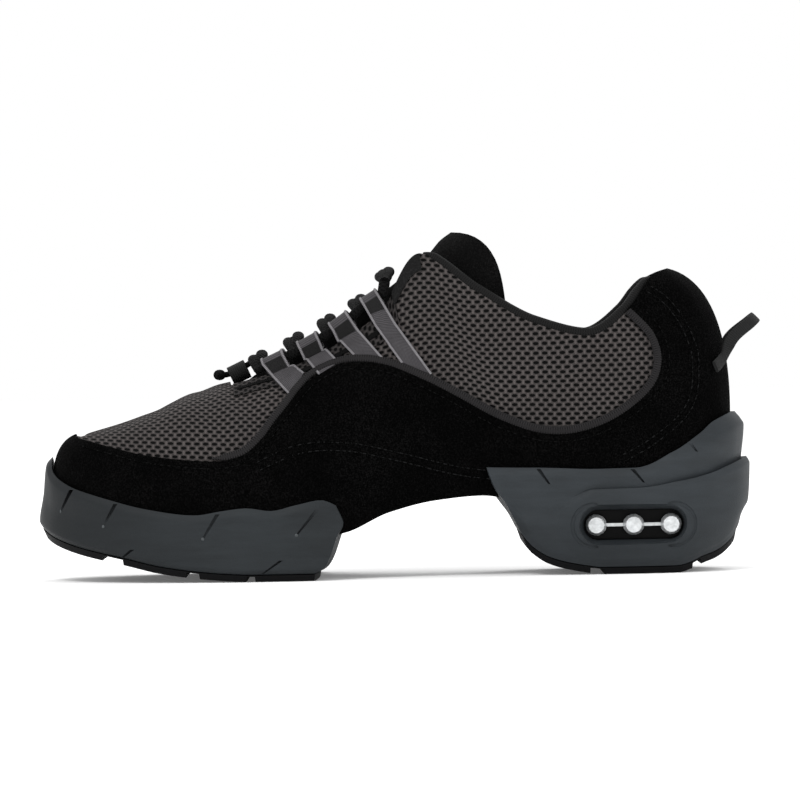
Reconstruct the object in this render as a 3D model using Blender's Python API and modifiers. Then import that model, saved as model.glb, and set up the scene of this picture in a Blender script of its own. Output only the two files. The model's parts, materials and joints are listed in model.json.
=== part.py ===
"""Split-sole dance sneaker, left shoe: mesh and suede upper, moulded forefoot and heel units.

The shoe stands on the plane z = 0 with its toe towards -X, its lateral side towards -Y and +Z up.
The origin is on the floor under the centre of the heel tread. Lengths are in metres.
"""

from functools import lru_cache

import bpy
import bmesh
import numpy as np
from mathutils import Vector
from mathutils.bvhtree import BVHTree

MM = 0.001

# Driving sizes
UPPER_LENGTH = 248.5 * MM
BALL_WIDTH = 82.0 * MM
COLLAR_WIDTH = 62.0 * MM
COLLAR_HEIGHT = 114.2 * MM
HEEL_SEAT = 30.0 * MM
TOE_OVERHANG = 9.5 * MM
HEEL_OVERHANG = 10.0 * MM
SOLE_LENGTH = TOE_OVERHANG + UPPER_LENGTH + HEEL_OVERHANG
HEEL_TREAD_SHARE = 226.5 / 268.0
HEEL_TREAD_CENTRE = HEEL_TREAD_SHARE * SOLE_LENGTH

# Walls, layers and clearances
GAP = 0.35 * MM
VAMP_WALL = 2.0 * MM
COLLAR_WALL = 4.0 * MM
OVERLAY_THICKNESS = 1.2 * MM
PIPING_WIDTH = 3.0 * MM
PIPING_HEIGHT = 1.7 * MM
TRIM_THICKNESS = 1.0 * MM
LACE_RADIUS = 1.8 * MM
INSOLE_THICKNESS = 3.0 * MM
INSOLE_CLEARANCE = 1.4 * MM
TONGUE_THICKNESS = 5.0 * MM
TREAD = 2.8 * MM
RAND = 2.4 * MM
OVERLAY_OUT = GAP + OVERLAY_THICKNESS
FIT = OVERLAY_OUT + GAP

# Resolution: columns for each section row, levels up the wall, strips across the vamp
CAD_DETAIL = (2, 6, 4)
SEAM_STEPS = 40

# Sections of the last from the toe (first row) to the back of the heel (last row).
# foot_*: where the wall meets the sole. rim_*: ridge of the vamp, throat edge and collar.
# Lengths along the shoe are shares of UPPER_LENGTH, foot widths of BALL_WIDTH, rim widths of
# COLLAR_WIDTH, foot heights of HEEL_SEAT and rim heights of COLLAR_HEIGHT.
# belly_* and top_* bend the wall: belly shares are of BALL_WIDTH, top shares of COLLAR_WIDTH.
SECTIONS = (
    # foot_x, foot_lat, foot_med, foot_z, rim_x, rim_lat, rim_med, rim_z,
    # belly_out, belly_up, top_out, top_down
    (0.000, 0.050, 0.050, 0.83, 0.032, 0.065, 0.065, 0.477, 0.061, 0.171, 0.170, 0.008),
    (0.010, -0.115, 0.200, 0.81, 0.036, 0.000, 0.130, 0.480, 0.061, 0.177, 0.194, 0.013),
    (0.038, -0.240, 0.325, 0.77, 0.050, -0.050, 0.160, 0.487, 0.061, 0.183, 0.258, 0.020),
    (0.083, -0.340, 0.405, 0.71, 0.087, -0.080, 0.175, 0.508, 0.067, 0.195, 0.323, 0.026),
    (0.143, -0.415, 0.465, 0.62, 0.143, -0.113, 0.170, 0.550, 0.073, 0.220, 0.387, 0.036),
    (0.211, -0.470, 0.490, 0.57, 0.203, -0.137, 0.161, 0.608, 0.079, 0.244, 0.419, 0.048),
    (0.284, -0.503, 0.485, 0.55, 0.257, -0.160, 0.160, 0.638, 0.079, 0.256, 0.403, 0.073),
    (0.356, -0.503, 0.435, 0.57, 0.320, -0.205, 0.205, 0.672, 0.073, 0.280, 0.340, 0.100),
    (0.425, -0.460, 0.365, 0.64, 0.376, -0.232, 0.232, 0.716, 0.067, 0.305, 0.300, 0.150),
    (0.493, -0.405, 0.310, 0.88, 0.433, -0.256, 0.256, 0.785, 0.061, 0.340, 0.270, 0.240),
    (0.565, -0.366, 0.285, 1.02, 0.489, -0.272, 0.272, 0.874, 0.067, 0.354, 0.240, 0.370),
    (0.638, -0.342, 0.285, 1.07, 0.549, -0.275, 0.275, 1.062, 0.073, 0.366, 0.210, 0.480),
    (0.710, -0.336, 0.305, 0.98, 0.634, -0.387, 0.387, 0.938, 0.085, 0.342, 0.130, 0.450),
    (0.783, -0.342, 0.330, 0.98, 0.718, -0.468, 0.468, 0.832, 0.085, 0.268, 0.065, 0.380),
    (0.855, -0.342, 0.342, 0.98, 0.799, -0.500, 0.500, 0.787, 0.085, 0.244, 0.032, 0.320),
    (0.920, -0.317, 0.323, 0.98, 0.861, -0.444, 0.444, 0.870, 0.073, 0.268, 0.065, 0.350),
    (0.968, -0.220, 0.232, 0.98, 0.897, -0.306, 0.306, 0.970, 0.067, 0.305, 0.194, 0.260),
    (0.992, -0.116, 0.122, 0.98, 0.919, -0.161, 0.161, 0.984, 0.061, 0.329, 0.339, 0.145),
    (1.000, 0.000, 0.000, 0.98, 0.924, 0.000, 0.000, 0.986, 0.061, 0.341, 0.403, 0.097),
)
ROWS = len(SECTIONS) - 1
THROAT_ROW = 6
CORNER_ROW = 11
VAMP_CROWN = 0.07
CROWN_REACH = 0.3
BOTTOM_SAG = 1.2 * MM
MARGIN_SHARE = 0.14
FOREFOOT_HOLE_ROWS = (2.5, 7.0)
HEEL_HOLE_ROWS = (12.5, 16.0)

# Seam between mesh and suede seen from the side: shares of UPPER_LENGTH and COLLAR_HEIGHT.
SEAM_LINE = (
    (0.020, 0.485),
    (0.042, 0.473),
    (0.082, 0.450),
    (0.130, 0.425),
    (0.185, 0.409),
    (0.235, 0.402),
    (0.262, 0.408),
    (0.285, 0.430),
    (0.308, 0.480),
    (0.332, 0.545),
    (0.376, 0.655),
    (0.420, 0.705),
    (0.460, 0.716),
    (0.505, 0.700),
    (0.560, 0.650),
    (0.610, 0.592),
    (0.665, 0.527),
    (0.720, 0.483),
    (0.768, 0.476),
    (0.818, 0.504),
    (0.862, 0.560),
    (0.892, 0.625),
    (0.902, 0.700),
    (0.893, 0.775),
    (0.872, 0.830),
    (0.855, 0.865),
)
PIPING_START = 5
WINDOW_TOP = 1.35

# Forefoot unit: one row for each section row it reaches. wall is the height of its top edge as a
# share of FOREFOOT_WALL, spread how far it stands out from the last at the ground, of TOE_OVERHANG.
FOREFOOT_WALL = 47.0 * MM
FOREFOOT_EDGE = (
    # row, wall, spread
    (0.0, 1.000, 1.00),
    (0.5, 0.970, 0.96),
    (1.0, 0.885, 0.88),
    (1.5, 0.815, 0.80),
    (2.0, 0.762, 0.74),
    (3.0, 0.672, 0.66),
    (4.0, 0.583, 0.62),
    (5.0, 0.535, 0.60),
    (5.6, 0.568, 0.60),
    (6.0, 0.585, 0.60),
    (6.5, 0.560, 0.60),
    (7.0, 0.600, 0.60),
    (7.5, 0.638, 0.60),
    (8.0, 0.570, 0.58),
    (9.0, 0.560, 0.50),
)
# Ground line under the forefoot: shares of SOLE_LENGTH and TOE_SPRING.
TOE_SPRING = 18.2 * MM
FOREFOOT_GROUND = (
    (0.000, 1.00),
    (0.026, 0.77),
    (0.060, 0.59),
    (0.127, 0.36),
    (0.172, 0.20),
    (0.216, 0.10),
    (0.265, 0.03),
    (0.310, 0.00),
    (0.400, 0.00),
)
# Rows where the rings of the unit end behind, from the ground up, and how far the breast swells
FOREFOOT_ENDS = (7.34, 7.50, 7.80, 7.94, 7.81)
FOREFOOT_BREAST_BULGE = 1.5 * MM
FOREFOOT_COLUMNS = 29
# Its lower corner, the belly of its side, the rounding under its top edge, and where that grows
FOREFOOT_TUCK = 1.4 * MM
FOREFOOT_CORNER = 1.7 * MM
FOREFOOT_BELLY = 1.6 * MM
FOREFOOT_BELLY_SHARE = 0.55
FOREFOOT_NECK = 0.3 * MM
FOREFOOT_EDGE_SHARE = 0.5
FOREFOOT_ROUND = (3.0 * MM, 2.5 * MM)
FOREFOOT_ROUND_ROWS = (7.0, 7.8)
FOREFOOT_TREAD_INSET = (2.8 * MM, 1.2 * MM)

# Heel unit: wall and tier heights as shares of HEEL_CUP, by section row.
HEEL_CUP = 59.6 * MM
HEEL_EDGE = (
    # row, wall, tier
    (10.5, 0.690, 0.28),
    (11.5, 0.680, 0.30),
    (12.3, 0.675, 0.34),
    (12.7, 0.670, 0.46),
    (13.3, 0.662, 0.535),
    (14.2, 0.665, 0.540),
    (15.0, 0.750, 0.575),
    (15.7, 0.860, 0.620),
    (16.4, 0.950, 0.665),
    (17.2, 0.995, 0.705),
    (18.0, 1.000, 0.715),
)
# Ground line under the heel: shares of SOLE_LENGTH and HEEL_CUP.
HEEL_GROUND = (
    (0.630, 0.420),
    (0.660, 0.300),
    (0.676, 0.230),
    (0.693, 0.140),
    (0.715, 0.074),
    (0.738, 0.040),
    (0.772, 0.010),
    (0.790, 0.000),
    (0.895, 0.000),
    (0.918, 0.025),
    (0.930, 0.050),
    (0.953, 0.086),
    (0.976, 0.161),
    (0.987, 0.237),
    (1.000, 0.330),
)
# Rows where the rings of the heel unit and of its lower tier start, from the ground up
HEEL_STARTS = (11.78, 11.64, 11.44, 11.24, 11.14, 11.10)
TIER_STARTS = (12.10, 12.05, 12.10, 12.25, 12.30)
HEEL_TREAD_STARTS = (11.88, 11.81)
HEEL_BREAST_BULGE = -1.5 * MM
HEEL_COLUMNS = 29
BREAST_POINTS = 5
HEEL_SWELL = 7.0 * MM
HEEL_CORNER = 2.5 * MM
TIER_CORNER = 0.8 * MM
HEEL_EDGE_SHARE = 0.55
# How far the rings stand out in mm: at the side, more further back, more right behind the heel
HEEL_OUT = (
    # side, back, behind
    (4.4, 0.0, 2.6),
    (6.0, 0.0, 2.2),
    (7.4, 0.0, 1.4),
    (6.7, 0.0, 0.0),
    (5.5, 1.2, 0.0),
)
TIER_OUT = (
    # side, back, behind
    (4.2, 0.0, 2.6),
    (4.8, 1.8, 2.0),
    (6.0, 4.6, 0.0),
    (5.9, 4.0, 0.0),
    (5.3, 3.0, 0.0),
)
HEEL_TREAD_OUT = (
    # side, back, behind
    (3.0, 0.0, 2.2),
    (4.3, 0.0, 1.7),
)
# Heights of the rings: least lift over the tread, shares of the cup and wall, drops from the top
HEEL_LIFTS = (6.0 * MM, 8.5 * MM)
HEEL_SHARES = (0.32, 0.62)
HEEL_ROUND = (3.0 * MM, 2.0 * MM)
TIER_LIFT = 6.5 * MM
TIER_RISE = 5.0 * MM
TIER_ROUND = 2.4 * MM
# Section rows between which the unit and its tier swell towards the back
HEEL_BACK_ROWS = (14.0, 16.0)
TIER_BACK_ROWS = (12.2, 13.4)
HEEL_BEHIND_ROWS = (16.0, 17.5)

# Window in the side of the heel and the insert behind it
WINDOW_CENTRE = (HEEL_TREAD_CENTRE - 2.6 * MM, 18.4 * MM)
WINDOW_LENGTH = 37.6 * MM
WINDOW_HEIGHT = 11.4 * MM
WINDOW_BEVEL = 4.6 * MM
WINDOW_FLOOR = 24.0 * MM
WINDOW_MOUTH = 31.5 * MM
WINDOW_OUTSIDE = 46.0 * MM
PLATE_THICKNESS = 2.0 * MM
STUD_RADIUS = 4.0 * MM
STUD_LENGTH = 6.5 * MM
STUD_PITCH = 14.0 * MM
STUD_BAR = 2.6 * MM
STUD_SIDES = 10
STUD_TIP = 0.62
STUD_STEPS = (0.0, 0.22, 0.7, 1.0)

# Moulded slashes in the sides of both units
SIDE_SLITS = (
    # unit, along as a share of SOLE_LENGTH, height in mm, lean in degrees, length in mm
    ("forefoot", 0.0430, 31.0, 28, 9.0),
    ("forefoot", 0.1056, 25.6, 30, 9.5),
    ("forefoot", 0.2470, 21.0, 32, 10.5),
    ("forefoot", 0.3813, 22.0, 40, 12.0),
    ("forefoot", 0.1269, 10.5, 52, 7.0),
    ("forefoot", 0.3313, 5.5, 55, 8.5),
    ("heel", 0.8425, 36.6, -40, 6.5),
    ("heel", 0.9187, 47.5, -38, 6.0),
    ("heel", 0.7112, 37.0, -35, 7.0),
)
SLIT_WIDTH = 0.7 * MM
SLIT_DEPTH = 1.1 * MM
SLIT_REACH = 1.4 * MM
SLIT_BEYOND = 12.0 * MM
SOLE_SPREAD = 6.0 * MM

# Grooves that part the treads into lugs
TREAD_GROOVES = (
    # unit, from and to as shares of SOLE_LENGTH
    ("forefoot", 0.0951, 0.1231),
    ("forefoot", 0.2127, 0.2299),
    ("forefoot", 0.2970, 0.3075),
    ("heel", 0.7746, 0.7925),
    ("heel", 0.9179, 0.9291),
)
GROOVE_DEPTH = 2.0 * MM
GROOVE_SLOPE = 0.6 * MM
GROOVE_UNDER = 3.0 * MM

# Webbing lace loops by the corners of their straps seen from the side:
# front and rear end of the fold at the top, front and rear corner at the foot.
# x as shares of UPPER_LENGTH, z as shares of COLLAR_HEIGHT.
LACE_LOOPS = (
    # top_x0, top_z0, top_x1, top_z1, foot_x0, foot_z0, foot_x1, foot_z1
    (0.310, 0.726, 0.344, 0.760, 0.340, 0.616, 0.365, 0.682),
    (0.365, 0.781, 0.396, 0.817, 0.386, 0.682, 0.418, 0.724),
    (0.415, 0.842, 0.4435, 0.886, 0.440, 0.742, 0.482, 0.742),
    (0.4625, 0.921, 0.488, 0.955, 0.512, 0.722, 0.556, 0.690),
)
LOOP_WALL = 0.9 * MM
STRAP_LIFT = 0.8 * MM
EYE_CLEARANCE = 0.6 * MM

# Lace: bars over the tongue, upper ends and knot, as shares of UPPER_LENGTH and COLLAR_HEIGHT
LACE_BARS = (
    # x, rise at the middle as a share of COLLAR_WIDTH, run between its two cords there in mm
    (0.2998, 0.078, 3.6),
    (0.3545, 0.082, 4.2),
    (0.4050, 0.084, 3.4),
    (0.4525, 0.064, 3.4),
    (0.4950, 0.045, 3.6),
)
LACE_END = (0.4950, 0.972)
LACE_BAR_RADIUS = 1.4 * MM
LACE_BAR_SWELL = 0.6
LACE_KNOT = (0.241, 0.673)
LACE_STEM_RADIUS = 1.25 * MM
KNOT_RADIUS = 2.2 * MM
VAMP_TAB = (0.256, 0.676, 0.2815, 0.702)
VAMP_TAB_HALF_WIDTH = 4.6 * MM

# Tongue: wing row and level on the last, centre line as shares of UPPER_LENGTH and COLLAR_HEIGHT.
# flat is how much of its half width stays level at the top, lean how far it bows backwards there.
TONGUE_ROWS = (
    # wing_row, wing_level, centre_x, centre_z, flat, lean
    (4.6, 0.86, 0.205, 0.566, 0.22, 0.00),
    (5.6, 0.83, 0.250, 0.600, 0.20, 0.00),
    (6.6, 0.79, 0.300, 0.677, 0.18, 0.00),
    (7.6, 0.77, 0.360, 0.755, 0.20, 0.00),
    (8.6, 0.76, 0.415, 0.820, 0.26, 0.00),
    (9.6, 0.76, 0.468, 0.896, 0.34, 0.00),
    (10.5, 0.78, 0.522, 0.982, 0.40, 0.04),
    (11.2, 0.82, 0.560, 1.050, 0.42, 0.12),
    (11.9, 0.88, 0.582, 1.104, 0.42, 0.24),
    (12.5, 0.93, 0.598, 1.129, 0.42, 0.36),
)
TONGUE_INSET = 1.4 * MM

# Pull loop at the heel: a tape in a tilted U. x and z seen from the side, as shares of
# UPPER_LENGTH and COLLAR_HEIGHT, and its half spread as a share of COLLAR_WIDTH.
PULL_TAPE_WIDTH = 4.6 * MM
PULL_TAPE_THICKNESS = 1.3 * MM
PULL_SEWN = ((0.984, 0.668), (0.996, 0.698))
PULL_FREE = (
    # x, z, spread
    (1.022, 0.766, 0.175),
    (1.049, 0.815, 0.110),
    (1.058, 0.832, 0.000),
)

# Eyestay corner of the throat
EYESTAY_ROWS = (10.34, 11.0)
EYESTAY_LEVELS = (0.925, 0.997)


def clear_scene():
    for obj in list(bpy.data.objects):
        bpy.data.objects.remove(obj, do_unlink=True)


def new_collection(name):
    made = bpy.data.collections.new(name)
    bpy.context.scene.collection.children.link(made)
    return made


def material(name, colour, roughness, metallic=0.0, alpha=1.0):
    made = bpy.data.materials.new(name)
    made.use_nodes = True
    shader = made.node_tree.nodes["Principled BSDF"]
    shader.inputs["Base Color"].default_value = (*colour, 1.0)
    shader.inputs["Roughness"].default_value = roughness
    shader.inputs["Metallic"].default_value = metallic
    shader.inputs["Alpha"].default_value = alpha
    return made


def mesh_object(name, points, faces, collection, finish=None):
    mesh = bpy.data.meshes.new(name)
    mesh.from_pydata([tuple(p) for p in points], [], faces)
    mesh.validate()
    obj = bpy.data.objects.new(name, mesh)
    collection.objects.link(obj)
    if finish:
        mesh.materials.append(finish)
    mesh.shade_smooth()
    mesh.set_sharp_from_angle(angle=np.radians(40))
    return obj


def outward(obj):
    """Turns all faces of a closed mesh outwards."""
    work = bmesh.new()
    work.from_mesh(obj.data)
    bmesh.ops.recalc_face_normals(work, faces=work.faces)
    if work.calc_volume(signed=True) < 0:
        bmesh.ops.reverse_faces(work, faces=work.faces)
    work.to_mesh(obj.data)
    work.free()
    return obj


def boolean(obj, other, operation):
    modifier = obj.modifiers.new(operation.lower() + "_" + other.name, "BOOLEAN")
    modifier.operation = operation
    modifier.object = other
    modifier.solver = "EXACT"
    return obj


def as_cutter(obj):
    obj.hide_render = True
    obj.display_type = "WIRE"
    return obj


def solidify(obj, thickness, group=None, least=1.0):
    modifier = obj.modifiers.new("wall", "SOLIDIFY")
    modifier.thickness = thickness
    modifier.offset = -1
    modifier.use_even_offset = True
    modifier.use_quality_normals = True
    if group:
        modifier.vertex_group = group
        modifier.thickness_vertex_group = least
    return obj


def monotone(xs, ys):
    """Cubic through the points that never overshoots them, as a function of x."""
    xs, ys = np.array(xs, float), np.array(ys, float)
    steps = np.diff(ys) / np.diff(xs)
    slopes = np.zeros(len(xs))
    slopes[0], slopes[-1] = steps[0], steps[-1]
    for i in range(1, len(xs) - 1):
        a, b = steps[i - 1], steps[i]
        slopes[i] = 2 * a * b / (a + b) if a * b > 0 else 0.0

    def value(x):
        x = min(max(x, xs[0]), xs[-1])
        i = min(int(np.searchsorted(xs, x, side="right")) - 1, len(xs) - 2)
        h = xs[i + 1] - xs[i]
        u = (x - xs[i]) / h
        return (
            ys[i] * (1 + 2 * u) * (1 - u) ** 2
            + ys[i + 1] * u * u * (3 - 2 * u)
            + slopes[i] * h * u * (1 - u) ** 2
            - slopes[i + 1] * h * u * u * (1 - u)
        )

    return value


def around(lateral, medial):
    """A section column as a function of the row around the shoe: 0 toe, ROWS heel, 2 ROWS toe."""
    loop = list(lateral) + list(medial[-2:0:-1])
    count = len(loop)
    extended = [loop[i % count] for i in range(-3, count + 4)]
    return monotone(range(-3, count + 4), extended)


def column(index, scale, mirror=None):
    lateral = [row[index] * scale for row in SECTIONS]
    medial = lateral if mirror is None else [row[mirror] * scale for row in SECTIONS]
    return around(lateral, medial)


FOOT_X = column(0, UPPER_LENGTH)
FOOT_Y = column(1, BALL_WIDTH, 2)
FOOT_Z = column(3, HEEL_SEAT)
RIM_X = column(4, UPPER_LENGTH)
RIM_Y = column(5, COLLAR_WIDTH, 6)
RIM_Z = column(7, COLLAR_HEIGHT)
BELLY_OUT = column(8, BALL_WIDTH)
BELLY_UP = column(9, BALL_WIDTH)
TOP_OUT = column(10, COLLAR_WIDTH)
TOP_DOWN = column(11, COLLAR_WIDTH)
UP = np.array((0.0, 0.0, 1.0))


def place(along, across, height):
    """A point from its distance behind the foot of the toe wall, its y and its height."""
    return np.array((along + TOE_OVERHANG - HEEL_TREAD_CENTRE, across, height))


def along_of(point):
    """Distance of a point behind the foremost point of the sole."""
    return point[0] + HEEL_TREAD_CENTRE


def plan_normal(row):
    step = 0.02
    run = FOOT_X(row + step) - FOOT_X(row - step)
    across = FOOT_Y(row + step) - FOOT_Y(row - step)
    made = np.array((across, -run, 0.0))
    return made / np.linalg.norm(made)


def foot(row):
    return place(FOOT_X(row), FOOT_Y(row), FOOT_Z(row))


def rim(row):
    return place(RIM_X(row), RIM_Y(row), RIM_Z(row))


@lru_cache(maxsize=None)
def section(row):
    """The four control points of the wall's Bezier curve, from the foot to the rim."""
    low, high, out = foot(row), rim(row), plan_normal(row)
    belly = low + out * BELLY_OUT(row) + UP * BELLY_UP(row)
    top = high + out * TOP_OUT(row) - UP * TOP_DOWN(row)
    return low, belly, top, high


def bezier(low, start, end, high, share):
    rest = 1 - share
    return (
        low * rest**3
        + start * 3 * rest**2 * share
        + end * 3 * rest * share**2
        + high * share**3
    )


def bare_wall(row, level):
    """The last's wall: from the foot (level 0) to the rim (level 1)."""
    return bezier(*section(row), level)


def wall_normal(row, level):
    step = 0.01
    low, high = max(level - step, 0.0), min(level + step, 1.0)
    rise = bare_wall(row, high) - bare_wall(row, low)
    run = bare_wall(row + step, level) - bare_wall(row - step, level)
    made = np.cross(run, rise)
    return made / np.linalg.norm(made)


def wall(row, level, grow=0.0):
    """The wall moved outwards by grow. Its foot moves out and down, as the corner of a box does."""
    point = bare_wall(row, level)
    if grow == 0.0:
        return point
    if level == 0.0:
        return point + (plan_normal(row) - UP) * grow
    return point + wall_normal(row, level) * grow


def wall_at_height(row, height, grow):
    """The grown wall where it reaches a height, or straight below its foot."""
    levels = np.linspace(0.0, 0.98, 50)
    heights = np.array([bare_wall(row, level)[2] for level in levels])
    if height <= heights[0]:
        point = foot(row) + plan_normal(row) * grow
        return np.array((point[0], point[1], height))
    level = float(np.interp(height, heights, levels))
    point = bare_wall(row, level) + wall_normal(row, level) * grow
    return np.array((point[0], point[1], height))


def vamp(row, share, grow=0.0):
    """The vamp between the two rims: share 0 is the lateral rim, 0.5 the ridge, 1 the medial rim."""
    left, right = section(row), section(2 * ROWS - row)
    width = np.linalg.norm(right[3] - left[3])
    ends = []
    for top, high in (left[2:], right[2:]):
        lean = high - top
        ends.append(high + lean / np.linalg.norm(lean) * CROWN_REACH * width)
    middle = bezier(left[3], ends[0], ends[1], right[3], 0.5)
    wanted = (left[3] + right[3]) / 2 + UP * VAMP_CROWN * width
    point = bezier(left[3], ends[0], ends[1], right[3], share)
    return point + (wanted - middle) * 16 * (share * (1 - share)) ** 2 + UP * grow


def last_form(name, grow, collection, closed=False, finish=None, detail=CAD_DETAIL):
    """The upper's surface moved out by grow: walls, vamp and bottom.

    closed also spans the throat, the collar and the two openings in the bottom. detail holds the
    columns for each section row, the levels up the wall and the strips across the vamp.
    """
    columns, rises, strips_across = detail
    points, faces = [], []

    def add(point):
        points.append(point)
        return len(points) - 1

    count = 2 * ROWS * columns
    half = count // 2
    levels = [i / rises for i in range(rises + 1)]
    grid = []
    for c in range(count):
        row = c / columns
        grid.append([add(wall(row, level, grow)) for level in levels])
    for c in range(count):
        here, there = grid[c], grid[(c + 1) % count]
        for v in range(rises):
            faces.append((here[v], there[v], there[v + 1], here[v + 1]))

    last_vamp = THROAT_ROW * columns
    inside = [i / strips_across for i in range(1, strips_across)]
    near = [grid[0][-1]]
    for c in range(1, last_vamp + 1):
        middle = [add(vamp(c / columns, share, grow)) for share in inside]
        far = [grid[c][-1], *middle, grid[count - c][-1]]
        for i in range(strips_across):
            if c == 1:
                faces.append((near[0], far[i], far[i + 1]))
            else:
                faces.append((near[i], far[i], far[i + 1], near[i + 1]))
        near = far
    if closed:
        faces.append((*near[::-1], grid[last_vamp + 1][-1], grid[count - last_vamp - 1][-1])[::-1])
        for c in range(last_vamp + 1, half - 1):
            faces.append((grid[c][-1], grid[c + 1][-1], grid[count - c - 1][-1], grid[count - c][-1]))
        faces.append((grid[half - 1][-1], grid[half][-1], grid[half + 1][-1]))

    shares = (MARGIN_SHARE, 0.5, 1 - MARGIN_SHARE)
    strips = [[grid[0][0]]]
    for c in range(1, half):
        left, right = points[grid[c][0]], points[grid[count - c][0]]
        inner = []
        for share in shares:
            sag = UP * BOTTOM_SAG * 4 * share * (1 - share)
            inner.append(add(left + (right - left) * share - sag))
        strips.append([grid[c][0], *inner, grid[count - c][0]])
    strips.append([grid[half][0]])
    holes = [] if closed else [FOREFOOT_HOLE_ROWS, HEEL_HOLE_ROWS]
    for c in range(half):
        near, far = strips[c], strips[c + 1]
        middle = (c + 0.5) / columns
        if len(near) == 1:
            faces.extend((near[0], far[i + 1], far[i]) for i in range(4))
        elif len(far) == 1:
            faces.extend((near[i], near[i + 1], far[0]) for i in range(4))
        else:
            for i in range(4):
                if i in (1, 2) and any(low < middle < high for low, high in holes):
                    continue
                faces.append((near[i], near[i + 1], far[i + 1], far[i]))
    obj = mesh_object(name, points, faces, collection, finish)
    return obj, grid


def side_caster():
    """Casts onto the last from the side: gives the point and normal at a distance along and a height."""
    points, faces = [], []
    fine, levels = 6 * 2 * ROWS, 28
    for c in range(fine):
        points.extend(bare_wall(c / 6, v / levels) for v in range(levels + 1))
    for c in range(fine):
        a, b = c * (levels + 1), ((c + 1) % fine) * (levels + 1)
        faces.extend((a + v, b + v, b + v + 1, a + v + 1) for v in range(levels))
    tree = BVHTree.FromPolygons([Vector(p) for p in points], faces)

    def cast(x, z, side, grow=0.0):
        hit, normal, _, _ = tree.ray_cast(Vector((x, side * 0.2, z)), Vector((0, -side, 0)))
        if hit is None:
            hit, normal, _, _ = tree.find_nearest(Vector((x, side * 0.02, z)))
        normal = np.array(normal)
        if normal[1] * side < 0:
            normal = -normal
        return np.array(hit) + normal * grow, normal

    return cast


def smooth_line(points, count):
    """Catmull-Rom curve through 2-D or 3-D points, with count points spread over its parameter."""
    points = [np.array(p, float) for p in points]
    points = [2 * points[0] - points[1], *points, 2 * points[-1] - points[-2]]
    made = []
    for i in range(count):
        t = i / (count - 1) * (len(points) - 3)
        k = min(int(t), len(points) - 4)
        u = t - k
        a, b, c, d = points[k : k + 4]
        made.append(
            0.5 * (2 * b + (c - a) * u + (2 * a - 5 * b + 4 * c - d) * u * u
                   + (3 * b - a - 3 * c + d) * u**3)
        )
    return made


def directions(points):
    points = np.array(points)
    made = np.gradient(points, axis=0)
    return made / np.linalg.norm(made, axis=1)[:, None]


def sweep(name, points, normals, profile, collection, finish, swell=0.0):
    """A bar along points. profile holds (across, out) pairs, out along the given normals.

    swell is how much thicker the bar is at its middle, as a share.
    """
    ways = directions(points)
    verts, faces = [], []
    for share, point, normal, way in zip(np.linspace(0, 1, len(points)), points, normals, ways):
        normal = normal - way * np.dot(normal, way)
        normal = normal / np.linalg.norm(normal)
        across = np.cross(way, normal)
        size = 1 + swell * 4 * share * (1 - share)
        verts.extend(point + (across * a + normal * b) * size for a, b in profile)
    size = len(profile)
    for i in range(len(points) - 1):
        for j in range(size):
            k = (j + 1) % size
            faces.append((i * size + j, i * size + k, (i + 1) * size + k, (i + 1) * size + j))
    faces.append(tuple(range(size - 1, -1, -1)))
    faces.append(tuple(range((len(points) - 1) * size, len(points) * size)))
    return outward(mesh_object(name, verts, faces, collection, finish))


def seam_points(count):
    line = [place(x * UPPER_LENGTH, 0, z * COLLAR_HEIGHT) for x, z in SEAM_LINE]
    return smooth_line([(p[0], p[2]) for p in line], count)


def prism(name, outline, half_width, collection):
    """A solid with an x-z outline, reaching half_width to each side of the centre plane."""
    size = len(outline)
    points = [np.array((x, -half_width, z)) for x, z in outline]
    points += [np.array((x, half_width, z)) for x, z in outline]
    faces = [tuple(range(size)), tuple(range(2 * size - 1, size - 1, -1))]
    for i in range(size):
        j = (i + 1) % size
        faces.append((i, i + size, j + size, j))
    return as_cutter(outward(mesh_object(name, points, faces, collection)))


def make_upper(parts, finish):
    obj, grid = last_form("upper", 0.0, parts, finish=finish)
    group = obj.vertex_groups.new(name="padding")
    count = len(grid)
    for c, levels in enumerate(grid):
        row = min(c, count - c) / CAD_DETAIL[0]
        back = min(max((row - 7.5) / 3.0, 0.0), 1.0)
        for v, index in enumerate(levels):
            group.add([index], back * (v / CAD_DETAIL[1]) ** 1.5, "REPLACE")
    solidify(obj, COLLAR_WALL, "padding", VAMP_WALL / COLLAR_WALL)
    return obj


def make_overlay(parts, tools, cast, finish):
    """Suede toe cap, quarters and heel counter in one piece, with the mesh windows cut out.

    The cut runs beside the piping, further away where the wall faces backwards or forwards.
    """
    obj, _ = last_form("suede_overlay", OVERLAY_OUT, parts, finish=finish)
    solidify(obj, OVERLAY_THICKNESS)
    line = np.array(seam_points(SEAM_STEPS))
    ways = directions(line)
    down = np.stack([ways[:, 1], -ways[:, 0]], axis=1)
    outline = []
    for point, way in zip(line, down):
        normal = cast(point[0], point[1], -1)[1]
        facing = max(normal[0] * way[0] + normal[2] * way[1], 0.0)
        outline.append(tuple(point + way * (PIPING_WIDTH / 2 + GAP + facing * (PIPING_HEIGHT + GAP))))
    top = COLLAR_HEIGHT * WINDOW_TOP
    outline += [(outline[-1][0], top), (outline[0][0], top)]
    cutter = prism("cut_mesh_window", outline, BALL_WIDTH, tools)
    return boolean(obj, cutter, "DIFFERENCE")


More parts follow.
